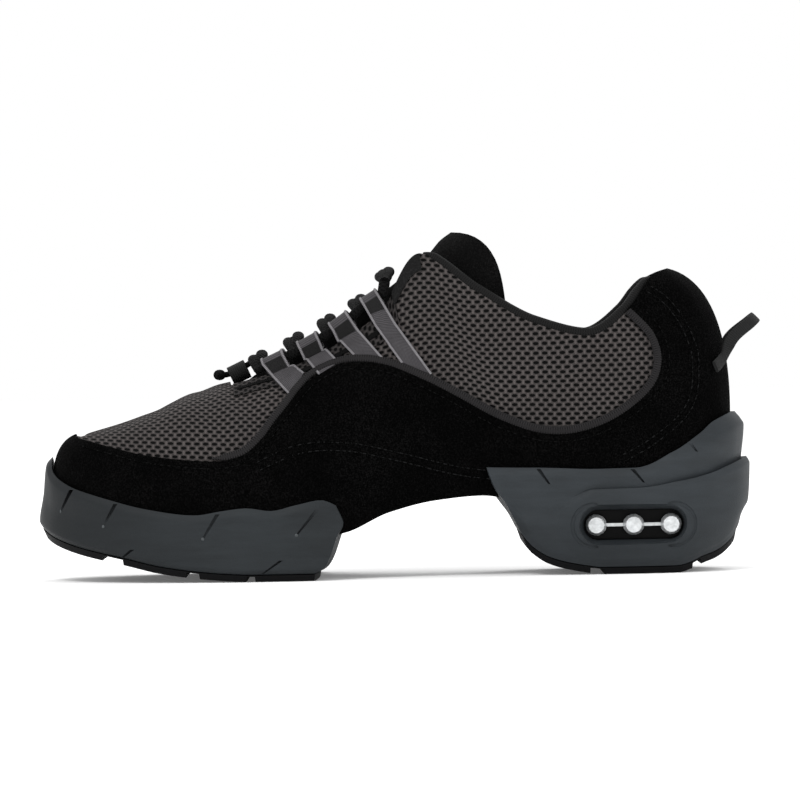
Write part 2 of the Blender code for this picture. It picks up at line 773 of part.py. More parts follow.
def make_piping(parts, cast, finish):
    line = seam_points(SEAM_STEPS)
    first = int(PIPING_START / (len(SEAM_LINE) - 1) * (SEAM_STEPS - 1))
    half, height = PIPING_WIDTH / 2, PIPING_HEIGHT
    profile = ((-half, 0), (half, 0), (half, 0.6 * height), (0.4 * half, height),
               (-0.4 * half, height), (-half, 0.6 * height))
    for side, label in ((-1, "lateral"), (1, "medial")):
        hits = [cast(x, z, side, GAP) for x, z in line[first:-1]]
        sweep("piping_" + label, [h[0] for h in hits], [h[1] for h in hits], profile, parts, finish)


def make_collar_binding(parts, finish):
    """Bound edge that sits on the collar from the throat corner to the suede of the heel."""
    profile = ((-0.7, 0.15), (0.7, 0.15), (1.25, 0.9), (0.9, 2.6), (0, 3.1), (-0.9, 2.6), (-1.25, 0.9))
    half = COLLAR_WALL / 2
    section = [(a * half, b * MM + 2 * GAP) for a, b in profile]
    for side, label in ((-1, "lateral"), (1, "medial")):
        points, normals = [], []
        for row in np.arange(CORNER_ROW + 0.12, 15.75, 0.28):
            turn = row if side < 0 else 2 * ROWS - row
            inward = -wall_normal(turn, 1.0)
            points.append(rim(turn) + inward * half)
            normals.append(wall(turn, 1.0) - wall(turn, 0.93))
        sweep("collar_binding_" + label, points, [n / np.linalg.norm(n) for n in normals],
              section, parts, finish)


def ring_of(ends, heights, grows, count, bulge, rear):
    """One closed ring of a sole unit.

    It runs from ends[0] to ends[1] in section rows, then straight back across. bulge moves the
    middle of the way across along x; rear is how many points lie on the way across.
    """
    rows = np.linspace(ends[0], ends[1], count)
    made = [wall_at_height(row % (2 * ROWS), heights(row), grows(row)) for row in rows]
    first, last = made[0], made[-1]
    for i in range(1, rear + 1):
        share = i / (rear + 1)
        point = last + (first - last) * share
        point[0] += bulge * 4 * share * (1 - share)
        made.append(point)
    return made


def stacked(name, rings, count, rear, collection, finish=None):
    """Closes a stack of equal rings with caps that run straight across the shoe."""
    size = len(rings[0])
    points = [p for ring in rings for p in ring]
    faces = []
    for r in range(len(rings) - 1):
        for i in range(size):
            j = (i + 1) % size
            faces.append((r * size + i, r * size + j, (r + 1) * size + j, (r + 1) * size + i))
    for base in (0, (len(rings) - 1) * size):
        half = count // 2
        faces.append((base + half - 1, base + half, base + half + 1))
        for i in range(1, half):
            faces.append((base + half - i - 1, base + half - i, base + half + i, base + half + i + 1))
        faces.append((base, base + count - 1, *(base + count + i for i in range(rear))))
    return outward(mesh_object(name, points, faces, collection, finish))


def forefoot_ground():
    xs = [x * SOLE_LENGTH for x, _ in FOREFOOT_GROUND]
    return monotone(xs, [z * TOE_SPRING for _, z in FOREFOOT_GROUND])


def heel_ground():
    xs = [x * SOLE_LENGTH for x, _ in HEEL_GROUND]
    return monotone(xs, [z * HEEL_CUP for _, z in HEEL_GROUND])


def dropped(ring, ground, lift):
    """Lays a ring on the ground line, lift above it."""
    return [np.array((p[0], p[1], ground(along_of(p)) + lift)) for p in ring]


def folded(row):
    """Row on the lateral half that matches a row counted around the toe or the heel."""
    row = abs(row)
    return row if row <= ROWS else 2 * ROWS - row


def ramp(rows):
    """Rises from 0 to 1 between two section rows."""
    low, high = rows
    return lambda r: min(max((r - low) / (high - low), 0.0), 1.0)


def make_forefoot(parts, last, finish, tread_finish):
    wall_top = monotone([r[0] for r in FOREFOOT_EDGE], [r[1] * FOREFOOT_WALL for r in FOREFOOT_EDGE])
    spread = monotone([r[0] for r in FOREFOOT_EDGE], [r[2] * TOE_OVERHANG for r in FOREFOOT_EDGE])
    ground = forefoot_ground()
    rear = ramp(FOREFOOT_ROUND_ROWS)

    def ring(end, height, grow):
        return ring_of((-end, end), lambda r: height(folded(r)), lambda r: grow(folded(r)),
                       FOREFOOT_COLUMNS, FOREFOOT_BREAST_BULGE, BREAST_POINTS)

    def floor(r):
        return ground(along_of(foot(r))) + TREAD

    def middle(r):
        return floor(r) + FOREFOOT_BELLY_SHARE * (wall_top(r) - floor(r))

    def shoulder(r):
        return wall_top(r) - FOREFOOT_ROUND[0] - FOREFOOT_ROUND[1] * rear(r)

    a, b, c, d, e = FOREFOOT_ENDS
    rings = [
        dropped(ring(a, floor, lambda r: spread(r) - FOREFOOT_TUCK), ground, TREAD),
        dropped(ring(b, floor, spread), ground, TREAD + FOREFOOT_CORNER),
        ring(c, middle, lambda r: FIT + RAND + FOREFOOT_BELLY),
        ring(d, shoulder, lambda r: FIT + RAND + FOREFOOT_NECK),
        ring(e, wall_top, lambda r: FIT + FOREFOOT_EDGE_SHARE * RAND),
    ]
    unit = stacked("sole_forefoot", rings, FOREFOOT_COLUMNS, BREAST_POINTS, parts, finish)
    boolean(unit, last, "DIFFERENCE")
    inset_low, inset_high = FOREFOOT_TREAD_INSET
    bottom = dropped(ring(a, floor, lambda r: spread(r) - inset_low), ground, 0.0)
    top = dropped(ring(a, floor, lambda r: spread(r) - inset_high), ground, TREAD - GAP)
    layers = [bottom, top]
    tread = stacked("outsole_forefoot", layers, FOREFOOT_COLUMNS, BREAST_POINTS, parts, tread_finish)
    return unit, tread


def make_heel(parts, tools, last, finish, tread_finish):
    wall_top = monotone([r[0] for r in HEEL_EDGE], [r[1] * HEEL_CUP for r in HEEL_EDGE])
    tier_top = monotone([r[0] for r in HEEL_EDGE], [r[2] * HEEL_CUP for r in HEEL_EDGE])
    ground = heel_ground()
    back, behind = ramp(HEEL_BACK_ROWS), ramp(HEEL_BEHIND_ROWS)
    tier_back = ramp(TIER_BACK_ROWS)

    def ring(front, height, out, backwards=back):
        side, more, most = out
        return ring_of((front, 2 * ROWS - front), lambda r: height(folded(r)),
                       lambda r: (side + more * backwards(folded(r)) + most * behind(folded(r))) * MM,
                       HEEL_COLUMNS, HEEL_BREAST_BULGE, BREAST_POINTS)

    def floor(r):
        return ground(along_of(foot(r) + plan_normal(r) * HEEL_SWELL)) + TREAD

    def shoulder(r):
        return wall_top(r) - HEEL_ROUND[0] - HEEL_ROUND[1] * back(r)

    edge_out = ((FIT + HEEL_EDGE_SHARE * RAND) / MM, 0.0, 0.0)
    a, b, c, d, e, f = HEEL_STARTS
    rings = [
        dropped(ring(a, floor, HEEL_OUT[0]), ground, TREAD),
        dropped(ring(b, floor, HEEL_OUT[1]), ground, TREAD + HEEL_CORNER),
        ring(c, lambda r: max(HEEL_SHARES[0] * HEEL_CUP, floor(r) + HEEL_LIFTS[0]), HEEL_OUT[2]),
        ring(d, lambda r: max(HEEL_SHARES[1] * wall_top(r), floor(r) + HEEL_LIFTS[1]), HEEL_OUT[3]),
        ring(e, shoulder, HEEL_OUT[4]),
        ring(f, wall_top, edge_out),
    ]
    unit = stacked("sole_heel", rings, HEEL_COLUMNS, BREAST_POINTS, parts, finish)

    a, b, c, d, e = TIER_STARTS
    tier_rings = [
        dropped(ring(a, floor, TIER_OUT[0], tier_back), ground, TREAD + TIER_CORNER),
        dropped(ring(b, floor, TIER_OUT[1], tier_back), ground, TREAD + HEEL_CORNER),
        ring(c, lambda r: max(0.5 * tier_top(r) + TIER_RISE, floor(r) + TIER_LIFT), TIER_OUT[2], tier_back),
        ring(d, lambda r: tier_top(r) - TIER_ROUND, TIER_OUT[3], tier_back),
        ring(e, tier_top, TIER_OUT[4], tier_back),
    ]
    tier = as_cutter(stacked("add_heel_tier", tier_rings, HEEL_COLUMNS, BREAST_POINTS, tools))
    boolean(unit, tier, "UNION")
    boolean(unit, last, "DIFFERENCE")
    low, high = HEEL_TREAD_STARTS
    bottom = dropped(ring(low, floor, HEEL_TREAD_OUT[0]), ground, 0.0)
    top = dropped(ring(high, floor, HEEL_TREAD_OUT[1]), ground, TREAD - GAP)
    tread = stacked("outsole_heel", [bottom, top], HEEL_COLUMNS, BREAST_POINTS, parts, tread_finish)
    return unit, tread


def stadium(length, height, count):
    """Outline of a slot with round ends, as x-z pairs about its centre."""
    radius = height / 2
    made = []
    for i in range(count):
        angle = 2 * np.pi * (i + 0.5) / count
        shift = np.sign(np.cos(angle)) * (length / 2 - radius)
        made.append((shift + radius * np.cos(angle), radius * np.sin(angle)))
    return made


def loft_y(name, outlines, depths, side, collection, finish=None):
    """Stacks x-z outlines at given distances from the centre plane."""
    size = len(outlines[0])
    points, faces = [], []
    for outline, depth in zip(outlines, depths):
        points.extend((x, side * depth, z) for x, z in outline)
    for r in range(len(outlines) - 1):
        for i in range(size):
            j = (i + 1) % size
            faces.append((r * size + i, r * size + j, (r + 1) * size + j, (r + 1) * size + i))
    faces.append(tuple(range(size - 1, -1, -1)))
    faces.append(tuple(range((len(outlines) - 1) * size, len(outlines) * size)))
    return outward(mesh_object(name, points, faces, collection, finish))


def make_window(unit, parts, tools, plate_finish, stud_finish):
    """Slot in each side of the heel, with a dark plate and three joined studs inside it."""
    centre_x = WINDOW_CENTRE[0] - HEEL_TREAD_CENTRE
    centre_z = WINDOW_CENTRE[1]

    def outline(shrink, count=20):
        flat = stadium(WINDOW_LENGTH - 2 * shrink, WINDOW_HEIGHT - 2 * shrink, count)
        return [(centre_x + x, centre_z + z) for x, z in flat]

    for side, label in ((-1, "lateral"), (1, "medial")):
        cutter = loft_y("cut_window_" + label,
                        [outline(0), outline(0), outline(-WINDOW_BEVEL)],
                        [WINDOW_FLOOR, WINDOW_MOUTH, WINDOW_OUTSIDE], side, tools)
        boolean(unit, as_cutter(cutter), "DIFFERENCE")
        back = WINDOW_FLOOR + GAP
        front = back + PLATE_THICKNESS
        faces = [outline(GAP), outline(GAP)]
        loft_y("heel_window_" + label, faces, [back, front], side, parts, plate_finish)
        studs = None
        start = front + GAP
        depths = [start + share * STUD_LENGTH for share in STUD_STEPS]
        for step in (-1, 0, 1):
            at = centre_x + step * STUD_PITCH
            girth = [(at + STUD_RADIUS * np.cos(a), centre_z + STUD_RADIUS * np.sin(a))
                     for a in np.linspace(0, 2 * np.pi, STUD_SIDES, endpoint=False)]
            tip = [(at + (x - at) * STUD_TIP, centre_z + (z - centre_z) * STUD_TIP) for x, z in girth]
            name = "heel_studs_" + label if studs is None else f"add_stud_{label}_{step}"
            home = parts if studs is None else tools
            made = loft_y(name, [tip, girth, girth, tip], depths, side, home, stud_finish)
            if studs is None:
                studs = made
            else:
                boolean(studs, as_cutter(made), "UNION")
        half_length, half_bar = STUD_PITCH, STUD_BAR / 2
        bar = [(centre_x + sx * half_length, centre_z + sz * half_bar)
               for sx, sz in ((-1, -1), (1, -1), (1, 1), (-1, 1))]
        middle = front + GAP + 0.5 * STUD_LENGTH
        rod = loft_y("add_bar_" + label, [bar, bar], [middle - half_bar, middle + half_bar], side, tools)
        boolean(studs, as_cutter(rod), "UNION")


def slit(name, x, z, lean, length, width, side, reach, depth, tools):
    """A thin slanted blade that marks the side of a sole unit, twice as wide at its top."""
    run, rise = np.sin(lean) * length / 2, np.cos(lean) * length / 2
    outline = [(x - run - width / 2, z - rise), (x - run + width / 2, z - rise),
               (x + run + width, z + rise), (x + run - width, z + rise)]
    blade = loft_y(name, [outline, outline], [reach - depth, reach + SLIT_BEYOND], side, tools)
    return as_cutter(blade)


def make_side_slits(forefoot, heel, tools):
    """Moulded slashes along both units."""
    units = {"forefoot": forefoot, "heel": heel}
    for number, (unit, along, height, lean, length) in enumerate(SIDE_SLITS):
        for side, label in ((-1, "lat"), (1, "med")):
            x = along * SOLE_LENGTH - HEEL_TREAD_CENTRE
            z = height * MM
            row = row_at(along * SOLE_LENGTH, side)
            reach = abs(wall_at_height(row, z, FIT + RAND + SLIT_REACH)[1])
            blade = slit(f"cut_slit_{number}_{label}", x, z, np.radians(lean), length * MM,
                         SLIT_WIDTH, side, reach, SLIT_DEPTH, tools)
            boolean(units[unit], blade, "DIFFERENCE")


def row_at(along, side):
    """Section row whose foot lies at a distance behind the front of the sole."""
    rows = np.linspace(0, ROWS, 200)
    reach = np.array([along_of(foot(r) + plan_normal(r) * SOLE_SPREAD) for r in rows])
    row = float(np.interp(along, reach, rows))
    return row if side < 0 else 2 * ROWS - row


def make_tread_grooves(forefoot, heel, tools):
    """Grooves that part the tread into lugs, straight across the shoe."""
    treads = {"forefoot": (forefoot, forefoot_ground()), "heel": (heel, heel_ground())}
    for number, (unit, start, end) in enumerate(TREAD_GROOVES):
        tread, ground = treads[unit]
        x0, x1 = start * SOLE_LENGTH, end * SOLE_LENGTH
        z0, z1 = ground(x0), ground(x1)
        outline = [(x0, z0 + GROOVE_DEPTH), (x1, z1 + GROOVE_DEPTH),
                   (x1 + GROOVE_SLOPE, z1 - GROOVE_UNDER), (x0 - GROOVE_SLOPE, z0 - GROOVE_UNDER)]
        outline = [(x - HEEL_TREAD_CENTRE, z) for x, z in outline]
        boolean(tread, prism(f"cut_groove_{number}", outline, BALL_WIDTH, tools), "DIFFERENCE")


def make_insole(parts, finish):
    """Sock that lies on the lasting margins and on the arch."""
    inset = VAMP_WALL + INSOLE_CLEARANCE
    lift = VAMP_WALL + 2 * GAP
    points, faces, strips = [], [], []
    rows = np.concatenate([[0.0, 0.5], np.arange(1.0, ROWS), [ROWS - 0.5, ROWS]])
    for row in rows:
        left = foot(row) - plan_normal(row) * inset
        right = foot(2 * ROWS - row) - plan_normal(2 * ROWS - row) * inset
        strip = []
        for share in (0.0, 0.25, 0.5, 0.75, 1.0):
            if row in (0.0, ROWS) and share > 0:
                continue
            point = left + (right - left) * share + UP * (lift - BOTTOM_SAG * 4 * share * (1 - share))
            points.append(point)
            strip.append(len(points) - 1)
        strips.append(strip)
    for near, far in zip(strips, strips[1:]):
        for i in range(4):
            if len(near) == 1:
                faces.append((near[0], far[i + 1], far[i]))
            elif len(far) == 1:
                faces.append((near[i], near[i + 1], far[0]))
            else:
                faces.append((near[i], near[i + 1], far[i + 1], far[i]))
    obj = mesh_object("insole", points, faces, parts, finish)
    solidify(obj, INSOLE_THICKNESS)
    return obj


def tongue_edge(row, level, side, grow):
    turn = row if side < 0 else 2 * ROWS - row
    point = wall(turn, level, grow)
    rise = bare_wall(turn, min(level + 0.05, 1.0)) - bare_wall(turn, level - 0.02)
    return point, rise / np.linalg.norm(rise)


def make_tongue(parts, finish):
    """Padded sheet under the throat, bent around the instep, thinner at its front."""
    across = (0.0, 0.14, 0.3, 0.5, 0.75, 1.0)
    points, faces, weights = [], [], []
    for wing_row, level, x, z, flat, lean in TONGUE_ROWS:
        padding = min(max(wing_row - THROAT_ROW, 0) / 2, 1)
        inset = -(VAMP_WALL + (COLLAR_WALL - VAMP_WALL) * padding + TONGUE_INSET)
        centre = place(x * UPPER_LENGTH, 0.0, z * COLLAR_HEIGHT)
        strip = []
        for side in (-1, 1):
            edge, rise = tongue_edge(wing_row, level, side, inset)
            reach = np.linalg.norm(edge - centre)
            low = edge + rise * 0.45 * reach
            high = centre + np.array((lean * reach, side * flat * reach, 0.0))
            for share in across:
                rest = 1 - share
                strip.append(edge * rest**3 + low * 3 * rest**2 * share
                             + high * 3 * rest * share**2 + centre * share**3)
        ordered = strip[: len(across)] + strip[len(across) : -1][::-1]
        points.extend(ordered)
    width = 2 * len(across) - 1
    for i in range(len(TONGUE_ROWS) - 1):
        for j in range(width - 1):
            a = i * width + j
            faces.append((a, a + width, a + width + 1, a + 1))
    obj = mesh_object("tongue", points, faces, parts, finish)
    group = obj.vertex_groups.new(name="padding")
    for i in range(len(TONGUE_ROWS)):
        group.add(list(range(i * width, (i + 1) * width)), min(i / 5, 1.0), "REPLACE")
    solidify(obj, TONGUE_THICKNESS, "padding", 0.4)
    return obj


def side_point(x_share, z_share):
    return place(x_share * UPPER_LENGTH, 0.0, z_share * COLLAR_HEIGHT)


def throat_row(along):
    """Row on the throat edge at a distance behind the foot of the toe wall."""
    rows = np.linspace(THROAT_ROW, CORNER_ROW, 60)
    return float(np.interp(along, [RIM_X(r) for r in rows], rows))


def eye_ends(index, side):
    """Both ends of the axis of a lace loop's eye, just over the throat edge."""
    top_x0, top_z0, top_x1, top_z1 = LACE_LOOPS[index][:4]
    ends = []
    for x, z in ((top_x0, top_z0), (top_x1, top_z1)):
        row = throat_row(x * UPPER_LENGTH)
        centre = side_point(x, z) - UP * (LACE_RADIUS + EYE_CLEARANCE + LOOP_WALL)
        centre[1] = side * (abs(RIM_Y(row)) + 0.2 * MM)
        ends.append(centre)
    return ends


def make_lace_loops(parts, tools, cast, finish):
    """Webbing straps from the seam to the throat, each ending in a round eye for the lace."""
    inner = LACE_RADIUS + EYE_CLEARANCE
    outer = inner + LOOP_WALL
    for index, corners in enumerate(LACE_LOOPS):
        for side, label in ((-1, "lateral"), (1, "medial")):
            ends = eye_ends(index, side)
            name = f"lace_loop_{label}_{index + 1}"
            way = (ends[1] - ends[0]) / np.linalg.norm(ends[1] - ends[0])
            feet = [side_point(*corners[4:6]), side_point(*corners[6:8])]
            low, high = [], []
            for share in (0.0, 0.17, 0.34, 0.5):
                pair = []
                for foot_point, end in zip(feet, ends):
                    spot = foot_point + (end - UP * inner - foot_point) * share
                    along = along_of(spot) - TOE_OVERHANG
                    spot[2] = min(spot[2], RIM_Z(throat_row(along)) - STRAP_LIFT)
                    pair.append(cast(spot[0], spot[2], side, STRAP_LIFT))
                low.append([p[0] for p in pair])
                high.append([p[0] + p[1] * LOOP_WALL for p in pair])
            up = (ends[0] + ends[1] - low[-1][0] - low[-1][1]) / 2
            up = up - way * np.dot(up, way)
            up = up / np.linalg.norm(up)
            out = np.cross(way, up) * side
            out = out if out[2] > 0 else -out
            narrow = way * LOOP_WALL * 0.2
            joint = [ends[0] + narrow, ends[1] - narrow]
            for lift in (-0.35, 0.3):
                low.append([end + out * (inner + 0.15 * LOOP_WALL) + up * inner * lift for end in joint])
                high.append([end + out * (outer - 0.15 * LOOP_WALL) + up * inner * lift for end in joint])
            strap = slab(name, low, high, parts, finish)
            low, high = [], []
            for angle in np.linspace(0, 2 * np.pi, 16, endpoint=False):
                spoke = out * np.cos(angle) + up * np.sin(angle)
                low.append([end + spoke * inner for end in ends])
                high.append([end + spoke * outer for end in ends])
            ring = slab("add_eye_" + name, low, high, tools, None, closed=True)
            boolean(strap, as_cutter(ring), "UNION")


def slab(name, low, high, collection, finish, closed=False):
    """A band between two faces. low and high hold, at each step, the points of its two edges."""
    count = len(low)
    points = []
    for a, b in zip(low, high):
        points.extend((a[0], b[0], b[1], a[1]))
    faces = []
    for i in range(count if closed else count - 1):
        j = (i + 1) % count
        for k in range(4):
            n = (k + 1) % 4
            faces.append((i * 4 + k, i * 4 + n, j * 4 + n, j * 4 + k))
    if not closed:
        faces.append((0, 1, 2, 3))
        faces.append(tuple((count - 1) * 4 + k for k in (3, 2, 1, 0)))
    return outward(mesh_object(name, points, faces, collection, finish))


def cord(name, points, radius, collection, finish=None, sides=6, swell=0.0):
    """A round bar along points that never run straight up."""
    angles = 2 * np.pi * (np.arange(sides) + 0.5) / sides
    profile = [(radius * np.cos(a), radius * np.sin(a)) for a in angles]
    return sweep(name, points, [UP] * len(points), profile, collection, finish, swell)


def lace_bar(runs, x, rise, shift):
    """Points of one cord over the tongue, its middle shifted along the slope of the throat."""
    slope = runs[0][-2] - runs[0][0]
    slope = slope * np.array((1.0, 0.0, 1.0))
    bow = slope / np.linalg.norm(slope) * shift + UP * rise * COLLAR_WIDTH
    along = side_point(x, 0.0)[0]
    ends = []
    for run in runs:
        xs, ys, zs = np.array(run).T
        ends.append(np.array((along, np.interp(along, xs, ys), np.interp(along, xs, zs))))
    return [ends[0] + (ends[1] - ends[0]) * share + bow * 4 * share * (1 - share)
            for share in np.linspace(0, 1, 7)]


def make_lace(parts, tools, finish):
    """Two runs through the eyes, joined by the bars that cross the tongue, with a knot in front."""
    runs = []
    for side in (-1, 1):
        points = []
        for index in range(len(LACE_LOOPS)):
            ends = eye_ends(index, side)
            points += [ends[0], (ends[0] + ends[1]) / 2, ends[1]]
        first, last = points[1] - points[0], points[-1] - points[-2]
        top = side_point(*LACE_END)
        top[1] = points[-1][1]
        last = last + UP * LACE_RADIUS
        points = [points[0] - first * 0.8, *points, points[-1] + last * 0.3, top]
        runs.append(points)
    lace = cord("lace", runs[0], LACE_RADIUS, parts, finish)
    boolean(lace, as_cutter(cord("add_lace_run", runs[1], LACE_RADIUS, tools)), "UNION")
    for number, (x, rise, pair) in enumerate(LACE_BARS):
        for side in (1, -1):
            points = lace_bar(runs, x, rise, side * pair * MM / 2)
            bar = cord(f"add_lace_bar_{number}_{side}", points, LACE_BAR_RADIUS, tools,
                       swell=LACE_BAR_SWELL)
            boolean(lace, as_cutter(bar), "UNION")
        if number == 0:
            crest = points[len(points) // 2]
    knot = side_point(*LACE_KNOT)
    through = [side_point(*VAMP_TAB[:2]), side_point(*VAMP_TAB[2:])]
    stem = cord("add_lace_stem", [knot, *through, crest], LACE_STEM_RADIUS, tools)
    boolean(lace, as_cutter(stem), "UNION")
    ball = [knot + np.array((0, y * KNOT_RADIUS, 0)) for y in (-1.25, -0.4, 0.4, 1.25)]
    boolean(lace, as_cutter(cord("add_lace_knot", ball, KNOT_RADIUS, tools, sides=8)), "UNION")
    return lace


def make_vamp_tab(parts, finish):
    """Webbing tunnel on the vamp that the front of the lace runs through."""
    front, rear = side_point(*VAMP_TAB[:2]), side_point(*VAMP_TAB[2:])
    way = (rear - front) / np.linalg.norm(rear - front)
    up = np.cross(way, (0.0, -1.0, 0.0))
    up = up if up[2] > 0 else -up
    low, high = [], []
    for angle in np.linspace(0, 2 * np.pi, 16, endpoint=False):
        across, rise = np.cos(angle), np.sin(angle)
        for store, shrink in ((low, LOOP_WALL), (high, 0.0)):
            shift = np.array((0, across * (VAMP_TAB_HALF_WIDTH - shrink), 0))
            shift = shift + up * rise * (LACE_STEM_RADIUS + GAP + LOOP_WALL - shrink)
            store.append([front + shift, rear + shift])
    return slab("vamp_tab", low, high, parts, finish, closed=True)


def make_eyestay(parts, finish):
    rows = np.linspace(*EYESTAY_ROWS, 5)
    levels = np.linspace(*EYESTAY_LEVELS, 3)
    for side, label in ((-1, "lateral"), (1, "medial")):
        points, faces = [], []
        for row in rows:
            turn = row if side < 0 else 2 * ROWS - row
            points.extend(wall(turn, level, GAP + TRIM_THICKNESS) for level in levels)
        for i in range(len(rows) - 1):
            for j in range(len(levels) - 1):
                a = i * len(levels) + j
                face = (a, a + 1, a + len(levels) + 1, a + len(levels))
                faces.append(face if side > 0 else face[::-1])
        obj = mesh_object("eyestay_" + label, points, faces, parts, finish)
        solidify(obj, TRIM_THICKNESS)


def make_pull_loop(parts, cast, finish):
    """Tape sewn to both sides of the heel, standing out behind as a grip."""
    grow = OVERLAY_OUT + 2 * GAP + PULL_TAPE_THICKNESS / 2
    sewn = [side_point(*share) for share in PULL_SEWN]
    free = [(side_point(x, z), spread * COLLAR_WIDTH) for x, z, spread in PULL_FREE]
    hits = [cast(p[0], p[2], -1, grow) for p in sewn]
    points = [h[0] for h in hits]
    points += [p - np.array((0, spread, 0)) for p, spread in free]
    slope = free[-1][0] - sewn[0]
    plane_up = np.cross(slope, (0.0, 1.0, 0.0))
    normals = [np.cross(way, plane_up) for way in directions(points)]
    normals = [n / np.linalg.norm(n) for n in normals]
    normals[0], normals[1] = hits[0][1], hits[1][1]
    flip = np.array((1, -1, 1))
    points += [p * flip for p in points[-2::-1]]
    normals += [n * flip for n in normals[-2::-1]]
    path, facing = smooth_line(points, 31), smooth_line(normals, 31)
    half, thick = PULL_TAPE_WIDTH / 2, PULL_TAPE_THICKNESS / 2
    profile = ((-half, -thick), (half, -thick), (half, thick), (-half, thick))
    return sweep("pull_loop", path, facing, profile, parts, finish)


def main():
    clear_scene()
    parts = new_collection("dance_sneaker")
    tools = new_collection("tools")
    mesh_fabric = material("mesh_fabric", (0.04, 0.037, 0.037), 0.8)
    suede = material("suede", (0.004, 0.004, 0.004), 0.95)
    trim = material("trim", (0.025, 0.025, 0.026), 0.6)
    moulded = material("moulded_sole", (0.036, 0.043, 0.048), 0.55)
    rubber = material("tread_rubber", (0.008, 0.008, 0.009), 0.5)
    webbing = material("webbing", (0.075, 0.072, 0.077), 0.45)
    plastic = material("window_plastic", (0.005, 0.005, 0.006), 0.15)
    clear = material("clear_stud", (0.85, 0.87, 0.88), 0.08)
    sock = material("insole_sock", (0.02, 0.02, 0.02), 0.9)

    make_upper(parts, mesh_fabric)
    cast = side_caster()
    make_overlay(parts, tools, cast, suede)
    make_piping(parts, cast, trim)
    make_collar_binding(parts, trim)
    last, _ = last_form("cut_last", FIT, tools, closed=True)
    as_cutter(outward(last))
    forefoot, forefoot_tread = make_forefoot(parts, last, moulded, rubber)
    heel, heel_tread = make_heel(parts, tools, last, moulded, rubber)
    make_window(heel, parts, tools, plastic, clear)
    make_side_slits(forefoot, heel, tools)
    make_tread_grooves(forefoot_tread, heel_tread, tools)
    make_insole(parts, sock)
    make_tongue(parts, suede)
    make_lace_loops(parts, tools, cast, webbing)
    make_vamp_tab(parts, trim)
    make_eyestay(parts, trim)
    make_lace(parts, tools, rubber)
    make_pull_loop(parts, cast, trim)


main()
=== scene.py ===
"""Look of the split-sole dance sneaker: materials, fabrics, stitching and finer forms over the CAD.

The tables and the functions that shape the shoe are the same as in the part's source, with a finer
resolution. Lengths are in metres.
"""

import json
from functools import lru_cache

import bpy
import bmesh
import numpy as np
from mathutils import Matrix, Vector
from mathutils.bvhtree import BVHTree

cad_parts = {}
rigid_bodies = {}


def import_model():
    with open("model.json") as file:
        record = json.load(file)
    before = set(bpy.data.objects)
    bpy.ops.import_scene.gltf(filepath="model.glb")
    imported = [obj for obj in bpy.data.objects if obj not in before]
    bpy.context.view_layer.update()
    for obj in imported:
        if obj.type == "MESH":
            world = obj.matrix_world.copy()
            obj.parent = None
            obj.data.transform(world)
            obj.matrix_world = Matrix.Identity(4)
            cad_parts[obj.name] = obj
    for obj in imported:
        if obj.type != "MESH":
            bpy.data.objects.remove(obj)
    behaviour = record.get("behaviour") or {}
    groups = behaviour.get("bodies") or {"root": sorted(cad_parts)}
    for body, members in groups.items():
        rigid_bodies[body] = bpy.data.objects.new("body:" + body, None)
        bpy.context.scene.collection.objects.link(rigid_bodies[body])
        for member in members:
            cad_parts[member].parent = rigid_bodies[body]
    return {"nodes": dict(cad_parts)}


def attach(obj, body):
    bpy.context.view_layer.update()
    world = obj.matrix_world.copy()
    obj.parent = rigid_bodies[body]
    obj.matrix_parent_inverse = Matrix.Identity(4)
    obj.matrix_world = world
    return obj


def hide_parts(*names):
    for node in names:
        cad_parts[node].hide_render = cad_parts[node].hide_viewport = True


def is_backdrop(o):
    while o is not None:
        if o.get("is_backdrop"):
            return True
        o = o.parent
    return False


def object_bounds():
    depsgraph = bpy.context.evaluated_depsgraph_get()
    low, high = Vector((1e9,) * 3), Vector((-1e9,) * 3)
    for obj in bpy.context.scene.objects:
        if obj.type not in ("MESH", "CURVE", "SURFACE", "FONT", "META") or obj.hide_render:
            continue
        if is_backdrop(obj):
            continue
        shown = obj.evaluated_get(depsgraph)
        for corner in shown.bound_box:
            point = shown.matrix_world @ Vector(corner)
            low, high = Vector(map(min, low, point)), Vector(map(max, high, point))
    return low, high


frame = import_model()
cad_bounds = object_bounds()

MM = 0.001

# Driving sizes
UPPER_LENGTH = 248.5 * MM
BALL_WIDTH = 82.0 * MM
COLLAR_WIDTH = 62.0 * MM
COLLAR_HEIGHT = 114.2 * MM
HEEL_SEAT = 30.0 * MM
TOE_OVERHANG = 9.5 * MM
HEEL_OVERHANG = 10.0 * MM
SOLE_LENGTH = TOE_OVERHANG + UPPER_LENGTH + HEEL_OVERHANG
HEEL_TREAD_SHARE = 226.5 / 268.0
HEEL_TREAD_CENTRE = HEEL_TREAD_SHARE * SOLE_LENGTH

# Walls, layers and clearances
GAP = 0.35 * MM
VAMP_WALL = 2.0 * MM
COLLAR_WALL = 4.0 * MM
OVERLAY_THICKNESS = 1.2 * MM
PIPING_WIDTH = 3.0 * MM
PIPING_HEIGHT = 1.7 * MM
TRIM_THICKNESS = 1.0 * MM
LACE_RADIUS = 1.8 * MM
TONGUE_THICKNESS = 5.0 * MM
TREAD = 2.8 * MM
RAND = 2.4 * MM
OVERLAY_OUT = GAP + OVERLAY_THICKNESS
FIT = OVERLAY_OUT + GAP

